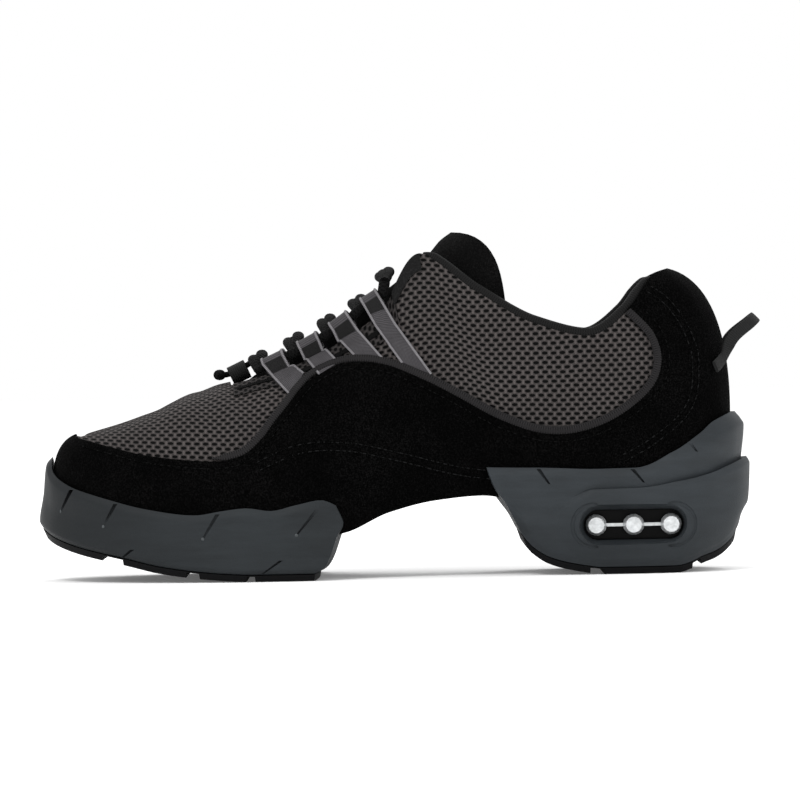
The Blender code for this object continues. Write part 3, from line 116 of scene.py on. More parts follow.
# Sections of the last from the toe (first row) to the back of the heel (last row).
# foot_*: where the wall meets the sole. rim_*: ridge of the vamp, throat edge and collar.
# Lengths along the shoe are shares of UPPER_LENGTH, foot widths of BALL_WIDTH, rim widths of
# COLLAR_WIDTH, foot heights of HEEL_SEAT and rim heights of COLLAR_HEIGHT.
# belly_* and top_* bend the wall: belly shares are of BALL_WIDTH, top shares of COLLAR_WIDTH.
SECTIONS = (
    # foot_x, foot_lat, foot_med, foot_z, rim_x, rim_lat, rim_med, rim_z,
    # belly_out, belly_up, top_out, top_down
    (0.000, 0.050, 0.050, 0.83, 0.032, 0.065, 0.065, 0.477, 0.061, 0.171, 0.170, 0.008),
    (0.010, -0.115, 0.200, 0.81, 0.036, 0.000, 0.130, 0.480, 0.061, 0.177, 0.194, 0.013),
    (0.038, -0.240, 0.325, 0.77, 0.050, -0.050, 0.160, 0.487, 0.061, 0.183, 0.258, 0.020),
    (0.083, -0.340, 0.405, 0.71, 0.087, -0.080, 0.175, 0.508, 0.067, 0.195, 0.323, 0.026),
    (0.143, -0.415, 0.465, 0.62, 0.143, -0.113, 0.170, 0.550, 0.073, 0.220, 0.387, 0.036),
    (0.211, -0.470, 0.490, 0.57, 0.203, -0.137, 0.161, 0.608, 0.079, 0.244, 0.419, 0.048),
    (0.284, -0.503, 0.485, 0.55, 0.257, -0.160, 0.160, 0.638, 0.079, 0.256, 0.403, 0.073),
    (0.356, -0.503, 0.435, 0.57, 0.320, -0.205, 0.205, 0.672, 0.073, 0.280, 0.340, 0.100),
    (0.425, -0.460, 0.365, 0.64, 0.376, -0.232, 0.232, 0.716, 0.067, 0.305, 0.300, 0.150),
    (0.493, -0.405, 0.310, 0.88, 0.433, -0.256, 0.256, 0.785, 0.061, 0.340, 0.270, 0.240),
    (0.565, -0.366, 0.285, 1.02, 0.489, -0.272, 0.272, 0.874, 0.067, 0.354, 0.240, 0.370),
    (0.638, -0.342, 0.285, 1.07, 0.549, -0.275, 0.275, 1.062, 0.073, 0.366, 0.210, 0.480),
    (0.710, -0.336, 0.305, 0.98, 0.634, -0.387, 0.387, 0.938, 0.085, 0.342, 0.130, 0.450),
    (0.783, -0.342, 0.330, 0.98, 0.718, -0.468, 0.468, 0.832, 0.085, 0.268, 0.065, 0.380),
    (0.855, -0.342, 0.342, 0.98, 0.799, -0.500, 0.500, 0.787, 0.085, 0.244, 0.032, 0.320),
    (0.920, -0.317, 0.323, 0.98, 0.861, -0.444, 0.444, 0.870, 0.073, 0.268, 0.065, 0.350),
    (0.968, -0.220, 0.232, 0.98, 0.897, -0.306, 0.306, 0.970, 0.067, 0.305, 0.194, 0.260),
    (0.992, -0.116, 0.122, 0.98, 0.919, -0.161, 0.161, 0.984, 0.061, 0.329, 0.339, 0.145),
    (1.000, 0.000, 0.000, 0.98, 0.924, 0.000, 0.000, 0.986, 0.061, 0.341, 0.403, 0.097),
)
ROWS = len(SECTIONS) - 1
THROAT_ROW = 6
CORNER_ROW = 11
VAMP_CROWN = 0.07
CROWN_REACH = 0.3
BOTTOM_SAG = 1.2 * MM
MARGIN_SHARE = 0.14
FOREFOOT_HOLE_ROWS = (2.5, 7.0)
HEEL_HOLE_ROWS = (12.5, 16.0)

# Seam between mesh and suede seen from the side: shares of UPPER_LENGTH and COLLAR_HEIGHT.
SEAM_LINE = (
    (0.020, 0.485), (0.042, 0.473), (0.082, 0.450), (0.130, 0.425), (0.185, 0.409), (0.235, 0.402),
    (0.262, 0.408), (0.285, 0.430), (0.308, 0.480), (0.332, 0.545), (0.376, 0.655), (0.420, 0.705),
    (0.460, 0.716), (0.505, 0.700), (0.560, 0.650), (0.610, 0.592), (0.665, 0.527), (0.720, 0.483),
    (0.768, 0.476), (0.818, 0.504), (0.862, 0.560), (0.892, 0.625), (0.902, 0.700), (0.893, 0.775),
    (0.872, 0.830), (0.855, 0.865),
)
PIPING_START = 5
WINDOW_TOP = 1.35

# Forefoot unit: one row for each section row it reaches. wall is the height of its top edge as a
# share of FOREFOOT_WALL, spread how far it stands out from the last at the ground, of TOE_OVERHANG.
FOREFOOT_WALL = 47.0 * MM
FOREFOOT_EDGE = (
    # row, wall, spread
    (0.0, 1.000, 1.00), (0.5, 0.970, 0.96), (1.0, 0.885, 0.88), (1.5, 0.815, 0.80),
    (2.0, 0.762, 0.74), (3.0, 0.672, 0.66), (4.0, 0.583, 0.62), (5.0, 0.535, 0.60),
    (5.6, 0.568, 0.60), (6.0, 0.585, 0.60), (6.5, 0.560, 0.60), (7.0, 0.600, 0.60),
    (7.5, 0.638, 0.60), (8.0, 0.570, 0.58), (9.0, 0.560, 0.50),
)
# Ground line under the forefoot: shares of SOLE_LENGTH and TOE_SPRING.
TOE_SPRING = 18.2 * MM
FOREFOOT_GROUND = (
    (0.000, 1.00), (0.026, 0.77), (0.060, 0.59), (0.127, 0.36), (0.172, 0.20), (0.216, 0.10),
    (0.265, 0.03), (0.310, 0.00), (0.400, 0.00),
)
# Rows where the rings of the unit end behind, from the ground up, and how far the breast swells
FOREFOOT_ENDS = (7.34, 7.50, 7.80, 7.94, 7.81)
FOREFOOT_BREAST_BULGE = 1.5 * MM
# Its lower corner, the belly of its side, the rounding under its top edge, and where that grows
FOREFOOT_TUCK = 1.4 * MM
FOREFOOT_CORNER = 1.7 * MM
FOREFOOT_BELLY = 1.6 * MM
FOREFOOT_BELLY_SHARE = 0.55
FOREFOOT_NECK = 0.3 * MM
FOREFOOT_EDGE_SHARE = 0.5
FOREFOOT_ROUND = (3.0 * MM, 2.5 * MM)
FOREFOOT_ROUND_ROWS = (7.0, 7.8)
FOREFOOT_TREAD_INSET = (2.8 * MM, 1.2 * MM)

# Heel unit: wall and tier heights as shares of HEEL_CUP, by section row.
HEEL_CUP = 59.6 * MM
HEEL_EDGE = (
    # row, wall, tier
    (10.5, 0.690, 0.28), (11.5, 0.680, 0.30), (12.3, 0.675, 0.34), (12.7, 0.670, 0.46),
    (13.3, 0.662, 0.535), (14.2, 0.665, 0.540), (15.0, 0.750, 0.575), (15.7, 0.860, 0.620),
    (16.4, 0.950, 0.665), (17.2, 0.995, 0.705), (18.0, 1.000, 0.715),
)
# Ground line under the heel: shares of SOLE_LENGTH and HEEL_CUP.
HEEL_GROUND = (
    (0.630, 0.420), (0.660, 0.300), (0.676, 0.230), (0.693, 0.140), (0.715, 0.074), (0.738, 0.040),
    (0.772, 0.010), (0.790, 0.000), (0.895, 0.000), (0.918, 0.025), (0.930, 0.050), (0.953, 0.086),
    (0.976, 0.161), (0.987, 0.237), (1.000, 0.330),
)
# Rows where the rings of the heel unit and of its lower tier start, from the ground up
HEEL_STARTS = (11.78, 11.64, 11.44, 11.24, 11.14, 11.10)
TIER_STARTS = (12.10, 12.05, 12.10, 12.25, 12.30)
HEEL_TREAD_STARTS = (11.88, 11.81)
HEEL_BREAST_BULGE = -1.5 * MM
BREAST_POINTS = 17
HEEL_SWELL = 7.0 * MM
HEEL_CORNER = 2.5 * MM
TIER_CORNER = 0.8 * MM
HEEL_EDGE_SHARE = 0.55
# How far the rings stand out in mm: at the side, more further back, more right behind the heel
HEEL_OUT = (
    # side, back, behind
    (4.4, 0.0, 2.6), (6.0, 0.0, 2.2), (7.4, 0.0, 1.4), (6.7, 0.0, 0.0), (5.5, 1.2, 0.0),
)
TIER_OUT = (
    # side, back, behind
    (4.2, 0.0, 2.6), (4.8, 1.8, 2.0), (6.0, 4.6, 0.0), (5.9, 4.0, 0.0), (5.3, 3.0, 0.0),
)
HEEL_TREAD_OUT = (
    # side, back, behind
    (3.0, 0.0, 2.2), (4.3, 0.0, 1.7),
)
# Heights of the rings: least lift over the tread, shares of the cup and wall, drops from the top
HEEL_LIFTS = (6.0 * MM, 8.5 * MM)
HEEL_SHARES = (0.32, 0.62)
HEEL_ROUND = (3.0 * MM, 2.0 * MM)
TIER_LIFT = 6.5 * MM
TIER_RISE = 5.0 * MM
TIER_ROUND = 2.4 * MM
# Section rows between which the unit and its tier swell towards the back
HEEL_BACK_ROWS = (14.0, 16.0)
TIER_BACK_ROWS = (12.2, 13.4)
HEEL_BEHIND_ROWS = (16.0, 17.5)

# Window in the side of the heel and the insert behind it
WINDOW_X = -2.6 * MM
WINDOW_Z = 18.4 * MM
WINDOW_LENGTH = 37.6 * MM
WINDOW_HEIGHT = 11.4 * MM
WINDOW_BEVEL = 4.6 * MM
WINDOW_FLOOR = 24.0 * MM
WINDOW_MOUTH = 31.5 * MM
WINDOW_OUTSIDE = 46.0 * MM
PLATE_THICKNESS = 2.0 * MM
STUD_RADIUS = 4.0 * MM
STUD_LENGTH = 6.5 * MM
STUD_PITCH = 14.0 * MM
STUD_BAR = 1.2 * MM
STUD_SIDES = 14
STUD_TIP = 0.74
STUD_STEPS = (0.0, 0.22, 0.6, 1.0)

# Moulded slashes in the sides of both units
SIDE_SLITS = (
    # unit, along as a share of SOLE_LENGTH, height in mm, lean in degrees, length in mm
    ("forefoot", 0.0430, 31.0, 28, 9.0), ("forefoot", 0.1056, 25.6, 30, 9.5),
    ("forefoot", 0.2470, 21.0, 32, 10.5), ("forefoot", 0.3813, 22.0, 40, 12.0),
    ("forefoot", 0.1269, 10.5, 52, 7.0), ("forefoot", 0.3313, 5.5, 55, 8.5),
    ("heel", 0.8425, 36.6, -40, 6.5), ("heel", 0.9187, 47.5, -38, 6.0),
    ("heel", 0.7112, 37.0, -35, 7.0),
)
SLIT_WIDTH = 0.8 * MM
SLIT_REACH = 1.4 * MM
SLIT_BEYOND = 12.0 * MM
SOLE_SPREAD = 6.0 * MM

# Grooves that part the treads into lugs
TREAD_GROOVES = (
    # unit, from and to as shares of SOLE_LENGTH
    ("forefoot", 0.0951, 0.1231), ("forefoot", 0.2127, 0.2299), ("forefoot", 0.2970, 0.3075),
    ("heel", 0.7746, 0.7925), ("heel", 0.9179, 0.9291),
)
GROOVE_DEPTH = 2.0 * MM
GROOVE_SLOPE = 0.6 * MM
GROOVE_UNDER = 3.0 * MM

# Webbing lace loops by the corners of their straps seen from the side:
# front and rear end of the fold at the top, front and rear corner at the foot.
# x as shares of UPPER_LENGTH, z as shares of COLLAR_HEIGHT.
LACE_LOOPS = (
    # top_x0, top_z0, top_x1, top_z1, foot_x0, foot_z0, foot_x1, foot_z1
    (0.310, 0.726, 0.344, 0.760, 0.340, 0.616, 0.365, 0.682),
    (0.365, 0.781, 0.396, 0.817, 0.386, 0.682, 0.418, 0.724),
    (0.415, 0.842, 0.4435, 0.886, 0.440, 0.742, 0.482, 0.742),
    (0.4625, 0.921, 0.488, 0.955, 0.512, 0.722, 0.556, 0.690),
)
LOOP_WALL = 0.9 * MM
STRAP_LIFT = 0.8 * MM
EYE_CLEARANCE = 0.6 * MM

# Lace: bars over the tongue, upper ends and knot, as shares of UPPER_LENGTH and COLLAR_HEIGHT
LACE_BARS = (
    # x, rise at the middle as a share of COLLAR_WIDTH, run between its two cords there in mm
    (0.2998, 0.078, 3.6), (0.3545, 0.082, 4.2), (0.4050, 0.084, 3.4), (0.4525, 0.064, 3.4),
    (0.4950, 0.045, 3.6),
)
LACE_END = (0.4950, 0.972)
LACE_BAR_RADIUS = 1.4 * MM
LACE_KNOT = (0.241, 0.673)
LACE_STEM_RADIUS = 1.25 * MM
KNOT_RADIUS = 2.2 * MM
VAMP_TAB = (0.256, 0.676, 0.2815, 0.702)
VAMP_TAB_HALF_WIDTH = 4.6 * MM

# Tongue: wing row and level on the last, centre line as shares of UPPER_LENGTH and COLLAR_HEIGHT.
# flat is how much of its half width stays level at the top, lean how far it bows backwards there.
TONGUE_ROWS = (
    # wing_row, wing_level, centre_x, centre_z, flat, lean
    (4.6, 0.86, 0.205, 0.566, 0.22, 0.00), (5.6, 0.83, 0.250, 0.600, 0.20, 0.00),
    (6.6, 0.79, 0.300, 0.677, 0.18, 0.00), (7.6, 0.77, 0.360, 0.755, 0.20, 0.00),
    (8.6, 0.76, 0.415, 0.820, 0.26, 0.00), (9.6, 0.76, 0.468, 0.896, 0.34, 0.00),
    (10.5, 0.78, 0.522, 0.982, 0.40, 0.04), (11.2, 0.82, 0.560, 1.050, 0.42, 0.12),
    (11.9, 0.88, 0.582, 1.104, 0.42, 0.24), (12.5, 0.93, 0.598, 1.129, 0.42, 0.36),
)
TONGUE_INSET = 1.4 * MM

# Pull loop at the heel: a tape in a tilted U. x and z seen from the side, as shares of
# UPPER_LENGTH and COLLAR_HEIGHT, and its half spread as a share of COLLAR_WIDTH.
PULL_TAPE_WIDTH = 4.6 * MM
PULL_TAPE_THICKNESS = 1.3 * MM
PULL_SEWN = ((0.984, 0.668), (0.996, 0.698))
PULL_FREE = (
    # x, z, spread
    (1.022, 0.766, 0.175), (1.049, 0.815, 0.110), (1.058, 0.832, 0.000),
)

# Eyestay corner of the throat
EYESTAY_ROWS = (10.34, 11.0)
EYESTAY_LEVELS = (0.925, 0.997)

# Resolution: columns for each section row, levels up the wall, strips across the vamp
FINE_DETAIL = (12, 36, 24)
CUT_DETAIL = (6, 24, 12)
# The first two for the form that sideways casts hit, and how far from the middle they start
CAST_DETAIL = (6, 28)
CAST_REACH = 0.2
# Points of the seam, rings of a sole unit, their columns, points of the window, and finer steps
FINE_SEAM = 320
RING_STEPS = 22
RING_COLUMNS = 121
SLOT_POINTS = 72
ROW_STEPS = 200
HEIGHT_STEPS = 50
TOP_LEVEL = 0.98
PLAN_STEP = 0.02
WALL_STEP = 0.01
TONGUE_STATIONS = 70

# Soft creases and swells of the worn upper, seen from the side, in mm:
# start, end, half width, depth (a swell is negative)
CREASES = (
    # along0, height0, along1, height1, half_width, depth
    (62.0, 72.0, 74.0, 50.0, 3.6, 0.55), (70.0, 70.0, 84.0, 52.0, 3.2, -0.45),
    (78.0, 70.0, 92.0, 50.0, 3.4, 0.60), (46.0, 62.0, 56.0, 48.0, 4.0, 0.35),
    (96.0, 68.0, 112.0, 48.0, 4.2, 0.45), (92.0, 44.0, 120.0, 62.0, 5.5, -0.50),
    (150.0, 96.0, 176.0, 84.0, 6.0, 0.50), (168.0, 98.0, 196.0, 76.0, 5.0, -0.45),
    (140.0, 60.0, 172.0, 50.0, 6.5, 0.55), (214.0, 84.0, 226.0, 70.0, 5.0, 0.40),
    (236.0, 100.0, 246.0, 74.0, 6.0, 0.45), (30.0, 50.0, 62.0, 42.0, 5.0, 0.30),
)
CREASE_TABLE = np.array(CREASES) * MM

# Knitted mesh: pitch and size of its holes in mm, and the colour of its yarn in the shade
HOLE_PITCH = 3.3
HOLE_ROW = 1.85
HOLE_LENGTH = 1.98
HOLE_HEIGHT = 1.12
YARN_SHADE = (0.012, 0.011, 0.011)
# Pitch of the lace's plaits in mm, and how the foam's flow marks are stretched
PLAIT = 1.5
FLOW_SCALE = (40.0, 60.0, 260.0)

# Recess line around the window, pips and depths of the slashes
RECESS_LENGTH = 8.4 * MM
RECESS_HEIGHT = 4.4 * MM
RECESS_GROOVE = (0.75 * MM, 0.45 * MM)
PIP_RADIUS = 0.62 * MM
PIP_FLATNESS = 0.45
PIP_SHARE = 1.04
SLIT_DEPTHS = {"forefoot": 1.7 * MM, "heel": 2.6 * MM}

# Padding, roll of the collar and facing of the throat, in section rows and levels of the wall
PADDED_ROWS = (7.5, 10.5)
ROLL_ROWS = (CORNER_ROW + 0.06, 16.1, 0.03)
FACING_LEVELS = (0.84, 0.88, 0.93, 0.985)
SEAM_LAP = 0.3

# Straps: share across and thickness of the two faces, points and share of the way up to the fold,
# sweep around the eye in degrees with its points, and the sewn stretch below the fold, dark partly as
# painted shadow of the fold
STRAP_SHAPE = ((0.0, 0.2), (0.04, 0.95), (0.10, 1.15), (0.16, 0.75), (0.5, 0.75), (0.84, 0.75),
               (0.90, 1.15), (0.96, 0.95), (1.0, 0.2))
FOLD_START = 12
STRAP_RISE = 0.62
EYE_SWEEP = (-20, 250, 22)
FOOT_TUCK = 3.5 * MM
TACK_LIFT = 0.3 * MM
TACK_HEIGHT = 5.0 * MM
TACK_INSET = 0.14
TAB_DEPTH = 1.9
# Girth of the lace's bars and of its knot: shares of the way and of the radius
BAR_SWELL = ((0.0, 0.15, 0.3, 0.5, 0.7, 0.85, 1.0), (1.0, 1.3, 1.55, 1.65, 1.55, 1.3, 1.0))
KNOT_SWELL = ((0.0, 0.2, 0.5, 0.8, 1.0), (0.3, 0.95, 1.08, 0.95, 0.3))

# Stitches: shares of the way and of the radius, length and space, and rows in mm behind the toe
# and mm high
STITCH_SHAPE = ((0.0, 0.25), (0.18, 0.9), (0.5, 1.0), (0.82, 0.9), (1.0, 0.25))
STITCH_SIDES = 6
STITCH = (1.7 * MM, 0.9 * MM)
ZIG_STITCH = (1.3 * MM, 0.25 * MM)
STITCH_RADIUS = 0.24 * MM
STITCH_SINK = 0.05
STITCH_GRAIN = 0.25 * MM
HEEL_STITCHES = ((231.5, 106.7), (237.8, 102.1), (243.4, 95.1), (247, 87.5), (248.8, 79.9),
                 (247.8, 66.6), (242.7, 57.3), (231.1, 48), (219.6, 41.8))
MIDFOOT_STITCHES = ((84, 44), (100, 50), (118, 50.5), (138, 46.5), (158, 41.5), (176, 39))

# Stage: floor, lamps by place, size and power, and the photograph's view
FLOOR_REACH = 6.0
LAMP_TARGET = (-0.09, 0.0, 0.05)
LAMPS = (
    ("key_light", (-0.7, -1.2, 1.6), 0.7, 16.0),
    ("fill_light", (1.1, -1.2, 0.7), 1.2, 4.0),
    ("back_light", (0.3, 1.2, 1.3), 0.8, 8.0),
)
PHOTO_PIXELS = 800
PHOTO_MM_PER_PIXEL = 0.3787
SENSOR_WIDTH = 36.0
VIEW_CENTRE = (-0.0890, 0.0, 0.0661)
VIEW_DISTANCE = 2.2
VIEW_ELEVATION = np.radians(0.7)
VIEW_ROLL = np.radians(1.064)

SIDES = ((-1, "lateral"), (1, "medial"))
UP = np.array((0.0, 0.0, 1.0))

scene = bpy.context.scene.collection
tools = bpy.data.collections.new("tools")
scene.children.link(tools)


def mesh_object(name, points, faces, home, finish=None):
    mesh = bpy.data.meshes.new(name)
    mesh.from_pydata([tuple(p) for p in points], [], faces)
    mesh.validate()
    obj = bpy.data.objects.new(name, mesh)
    home.objects.link(obj)
    if finish:
        mesh.materials.append(finish)
    mesh.shade_smooth()
    mesh.set_sharp_from_angle(angle=np.radians(40))
    return obj


def outward(obj):
    """Turns all faces of a closed mesh outwards."""
    work = bmesh.new()
    work.from_mesh(obj.data)
    bmesh.ops.recalc_face_normals(work, faces=work.faces)
    if work.calc_volume(signed=True) < 0:
        bmesh.ops.reverse_faces(work, faces=work.faces)
    work.to_mesh(obj.data)
    work.free()
    return obj


def boolean(obj, other, operation):
    modifier = obj.modifiers.new(operation.lower() + "_" + other.name, "BOOLEAN")
    modifier.operation = operation
    modifier.object = other
    modifier.solver = "EXACT"


def settle(obj):
    """Applies what the modifiers do to the mesh."""
    graph = bpy.context.evaluated_depsgraph_get()
    made = bpy.data.meshes.new_from_object(obj.evaluated_get(graph))
    old = obj.data
    obj.modifiers.clear()
    obj.data = made
    bpy.data.meshes.remove(old)
    obj.vertex_groups.clear()
    made.shade_smooth()
    made.set_sharp_from_angle(angle=np.radians(38))
    return obj


def solidify(obj, thickness):
    modifier = obj.modifiers.new("wall", "SOLIDIFY")
    modifier.thickness = thickness
    modifier.offset = -1
    modifier.use_even_offset = True
    modifier.use_quality_normals = True
    return modifier


def piece(obj, slot, *nodes):
    """Puts a finished piece on the shoe and hides the solids it stands for."""
    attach(obj, "root")
    if nodes:
        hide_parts(*nodes)
    return obj


# Lines and curves


def normed(vectors):
    return vectors / np.linalg.norm(vectors, axis=-1, keepdims=True)


def travelled(points):
    """Distance along a line at each of its points."""
    return np.concatenate([[0.0], np.cumsum(np.linalg.norm(np.diff(points, axis=0), axis=1))])


def spread_out(wanted, at, lines):
    """Each column of lines, given at the distances at, read at the wanted ones."""
    return np.stack([np.interp(wanted, at, lines[:, k]) for k in range(lines.shape[1])], axis=1)


def full_turn(count):
    return np.linspace(0, 2 * np.pi, count, endpoint=False)


def monotone(xs, ys):
    """Cubic through the points that never overshoots them, as a function of x."""
    xs, ys = np.array(xs, float), np.array(ys, float)
    steps = np.diff(ys) / np.diff(xs)
    slopes = np.zeros(len(xs))
    slopes[0], slopes[-1] = steps[0], steps[-1]
    for i in range(1, len(xs) - 1):
        a, b = steps[i - 1], steps[i]
        slopes[i] = 2 * a * b / (a + b) if a * b > 0 else 0.0

    def value(x):
        x = min(max(x, xs[0]), xs[-1])
        i = min(int(np.searchsorted(xs, x, side="right")) - 1, len(xs) - 2)
        h = xs[i + 1] - xs[i]
        u = (x - xs[i]) / h
        return (
            ys[i] * (1 + 2 * u) * (1 - u) ** 2
            + ys[i + 1] * u * u * (3 - 2 * u)
            + slopes[i] * h * u * (1 - u) ** 2
            - slopes[i + 1] * h * u * u * (1 - u)
        )

    return value


def smooth_line(points, count):
    """Catmull-Rom curve through 2-D or 3-D points, with count points spread over its parameter."""
    points = [np.array(p, float) for p in points]
    points = [2 * points[0] - points[1], *points, 2 * points[-1] - points[-2]]
    made = []
    for i in range(count):
        t = i / (count - 1) * (len(points) - 3)
        k = min(int(t), len(points) - 4)
        u = t - k
        a, b, c, d = points[k : k + 4]
        made.append(
            0.5 * (2 * b + (c - a) * u + (2 * a - 5 * b + 4 * c - d) * u * u
                   + (3 * b - a - 3 * c + d) * u**3)
        )
    return made


def directions(points):
    return normed(np.gradient(np.array(points), axis=0))


def evenly(points, step):
    """Points at an even distance along a line."""
    points = np.array(points)
    at = travelled(points)
    count = max(int(round(at[-1] / step)), 2) + 1
    return spread_out(np.linspace(0.0, at[-1], count), at, points)


def bezier(low, start, end, high, share):
    rest = 1 - share
    return (
        low * rest**3
        + start * 3 * rest**2 * share
        + end * 3 * rest * share**2
        + high * share**3
    )


# The last


def around(lateral, medial):
    """A section column as a function of the row around the shoe: 0 toe, ROWS heel, 2 ROWS toe."""
    loop = list(lateral) + list(medial[-2:0:-1])
    count = len(loop)
    extended = [loop[i % count] for i in range(-3, count + 4)]
    return monotone(range(-3, count + 4), extended)


def column(index, scale, mirror=None):
    lateral = [row[index] * scale for row in SECTIONS]
    medial = lateral if mirror is None else [row[mirror] * scale for row in SECTIONS]
    return around(lateral, medial)


FOOT_X = column(0, UPPER_LENGTH)
FOOT_Y = column(1, BALL_WIDTH, 2)
FOOT_Z = column(3, HEEL_SEAT)
RIM_X = column(4, UPPER_LENGTH)
RIM_Y = column(5, COLLAR_WIDTH, 6)
RIM_Z = column(7, COLLAR_HEIGHT)
BELLY_OUT = column(8, BALL_WIDTH)
BELLY_UP = column(9, BALL_WIDTH)
TOP_OUT = column(10, COLLAR_WIDTH)
TOP_DOWN = column(11, COLLAR_WIDTH)


def turned(row, side):
    """Row on one side of the shoe that matches a row on the lateral side."""
    return row if side < 0 else 2 * ROWS - row


def place(along, across, height):
    """A point from its distance behind the foot of the toe wall, its y and its height."""
    return np.array((along + TOE_OVERHANG - HEEL_TREAD_CENTRE, across, height))


def along_of(point):
    """Distance of a point behind the foremost point of the sole."""
    return point[0] + HEEL_TREAD_CENTRE


def side_point(x_share, z_share):
    return place(x_share * UPPER_LENGTH, 0.0, z_share * COLLAR_HEIGHT)


def plan_normal(row):
    run = FOOT_X(row + PLAN_STEP) - FOOT_X(row - PLAN_STEP)
    across = FOOT_Y(row + PLAN_STEP) - FOOT_Y(row - PLAN_STEP)
    return normed(np.array((across, -run, 0.0)))


def foot(row):
    return place(FOOT_X(row), FOOT_Y(row), FOOT_Z(row))


def rim(row):
    return place(RIM_X(row), RIM_Y(row), RIM_Z(row))


@lru_cache(maxsize=None)
def section(row):
    """The four control points of the wall's Bezier curve, from the foot to the rim."""
    low, high, out = foot(row), rim(row), plan_normal(row)
    belly = low + out * BELLY_OUT(row) + UP * BELLY_UP(row)
    top = high + out * TOP_OUT(row) - UP * TOP_DOWN(row)
    return low, belly, top, high


def bare_wall(row, level):
    """The last's wall: from the foot (level 0) to the rim (level 1)."""
    return bezier(*section(row), level)


def wall_normal(row, level):
    rise = bare_wall(row, min(level + WALL_STEP, 1.0)) - bare_wall(row, max(level - WALL_STEP, 0.0))
    run = bare_wall(row + WALL_STEP, level) - bare_wall(row - WALL_STEP, level)
    return normed(np.cross(run, rise))


def relief(point):
    """How far the worn surface stands out from the last at a point."""
    start_x, start_z, end_x, end_z, half, depth = CREASE_TABLE.T
    run_x, run_z = end_x - start_x, end_z - start_z
    off_x, off_z = along_of(point) - start_x, point[2] - start_z
    length = np.hypot(run_x, run_z)
    share = np.clip((off_x * run_x + off_z * run_z) / length**2, 0.0, 1.0)
    away = np.hypot(off_x - share * run_x, off_z - share * run_z)
    return -float(np.sum(depth * np.exp(-((away / half) ** 2))))


def wall(row, level, grow=0.0):
    """The wall moved outwards by grow. Its foot moves out and down, as the corner of a box does."""
    point = bare_wall(row, level)
    if level == 0.0:
        return point + (plan_normal(row) - UP) * grow
    return point + wall_normal(row, level) * (grow + relief(point) * min(level * 8, 1.0))


def wall_at_height(row, height, grow):
    """The grown wall where it reaches a height, or straight below its foot."""
    levels = np.linspace(0.0, TOP_LEVEL, HEIGHT_STEPS)
    heights = np.array([bare_wall(row, level)[2] for level in levels])
    if height <= heights[0]:
        point = foot(row) + plan_normal(row) * grow
        return np.array((point[0], point[1], height))
    level = float(np.interp(height, heights, levels))
    point = bare_wall(row, level) + wall_normal(row, level) * grow
    return np.array((point[0], point[1], height))


def vamp(row, share, grow=0.0):
    """The vamp between the two rims: share 0 is the lateral rim, 0.5 the ridge, 1 the medial rim."""
    left, right = section(row), section(2 * ROWS - row)
    width = np.linalg.norm(right[3] - left[3])
    ends = []
    for top, high in (left[2:], right[2:]):
        lean = high - top
        ends.append(high + lean / np.linalg.norm(lean) * CROWN_REACH * width)
    middle = bezier(left[3], ends[0], ends[1], right[3], 0.5)
    wanted = (left[3] + right[3]) / 2 + UP * VAMP_CROWN * width
    point = bezier(left[3], ends[0], ends[1], right[3], share)
    point = point + (wanted - middle) * 16 * (share * (1 - share)) ** 2
    return point + UP * (grow + relief(point))


def last_form(name, grow, home, detail, finish=None, closed=False):
    """The upper's surface moved out by grow: walls, vamp and bottom.

    closed also spans the throat, the collar and the two openings in the bottom. detail holds the
    columns for each section row, the levels up the wall and the strips across the vamp.
    """
    columns, rises, strips_across = detail
    count = 2 * ROWS * columns
    half, last_vamp = count // 2, THROAT_ROW * columns
    points = [wall(c / columns, v / rises, grow) for c in range(count) for v in range(rises + 1)]
    faces = []

    def low(c):
        return (c % count) * (rises + 1)

    def high(c):
        return low(c) + rises

    def strip(left, inner, right):
        points.extend(inner)
        return [left, *range(len(points) - len(inner), len(points)), right]

    for c in range(count):
        faces.extend((low(c) + v, low(c + 1) + v, low(c + 1) + v + 1, low(c) + v + 1) for v in range(rises))
    near = [high(0)]
    for c in range(1, last_vamp + 1):
        inner = [vamp(c / columns, i / strips_across, grow) for i in range(1, strips_across)]
        far = strip(high(c), inner, high(-c))
        for i in range(strips_across):
            start = (near[0],) if c == 1 else (near[i],)
            faces.append((*start, far[i], far[i + 1], *near[i + 1 : i + 2]))
        near = far
    if closed:
        faces.append((*near[::-1], high(last_vamp + 1), high(-last_vamp - 1))[::-1])
        for c in range(last_vamp + 1, half - 1):
            faces.append((high(c), high(c + 1), high(-c - 1), high(-c)))
        faces.append((high(half - 1), high(half), high(half + 1)))

    near = [low(0)]
    holes = [] if closed else [FOREFOOT_HOLE_ROWS, HEEL_HOLE_ROWS]
    for c in range(1, half + 1):
        far = [low(half)]
        if c < half:
            left, right = points[low(c)], points[low(-c)]
            inner = [left + (right - left) * share - UP * BOTTOM_SAG * 4 * share * (1 - share)
                     for share in (MARGIN_SHARE, 0.5, 1 - MARGIN_SHARE)]
            far = strip(low(c), inner, low(-c))
        open_here = any(start < (c - 0.5) / columns < end for start, end in holes)
        for i in range(4):
            if open_here and i in (1, 2):
                continue
            if len(near) == 1:
                faces.append((near[0], far[i + 1], far[i]))
            elif len(far) == 1:
                faces.append((near[i], near[i + 1], far[0]))
            else:
                faces.append((near[i], near[i + 1], far[i + 1], far[i]))
        near = far
    return mesh_object(name, points, faces, home, finish)


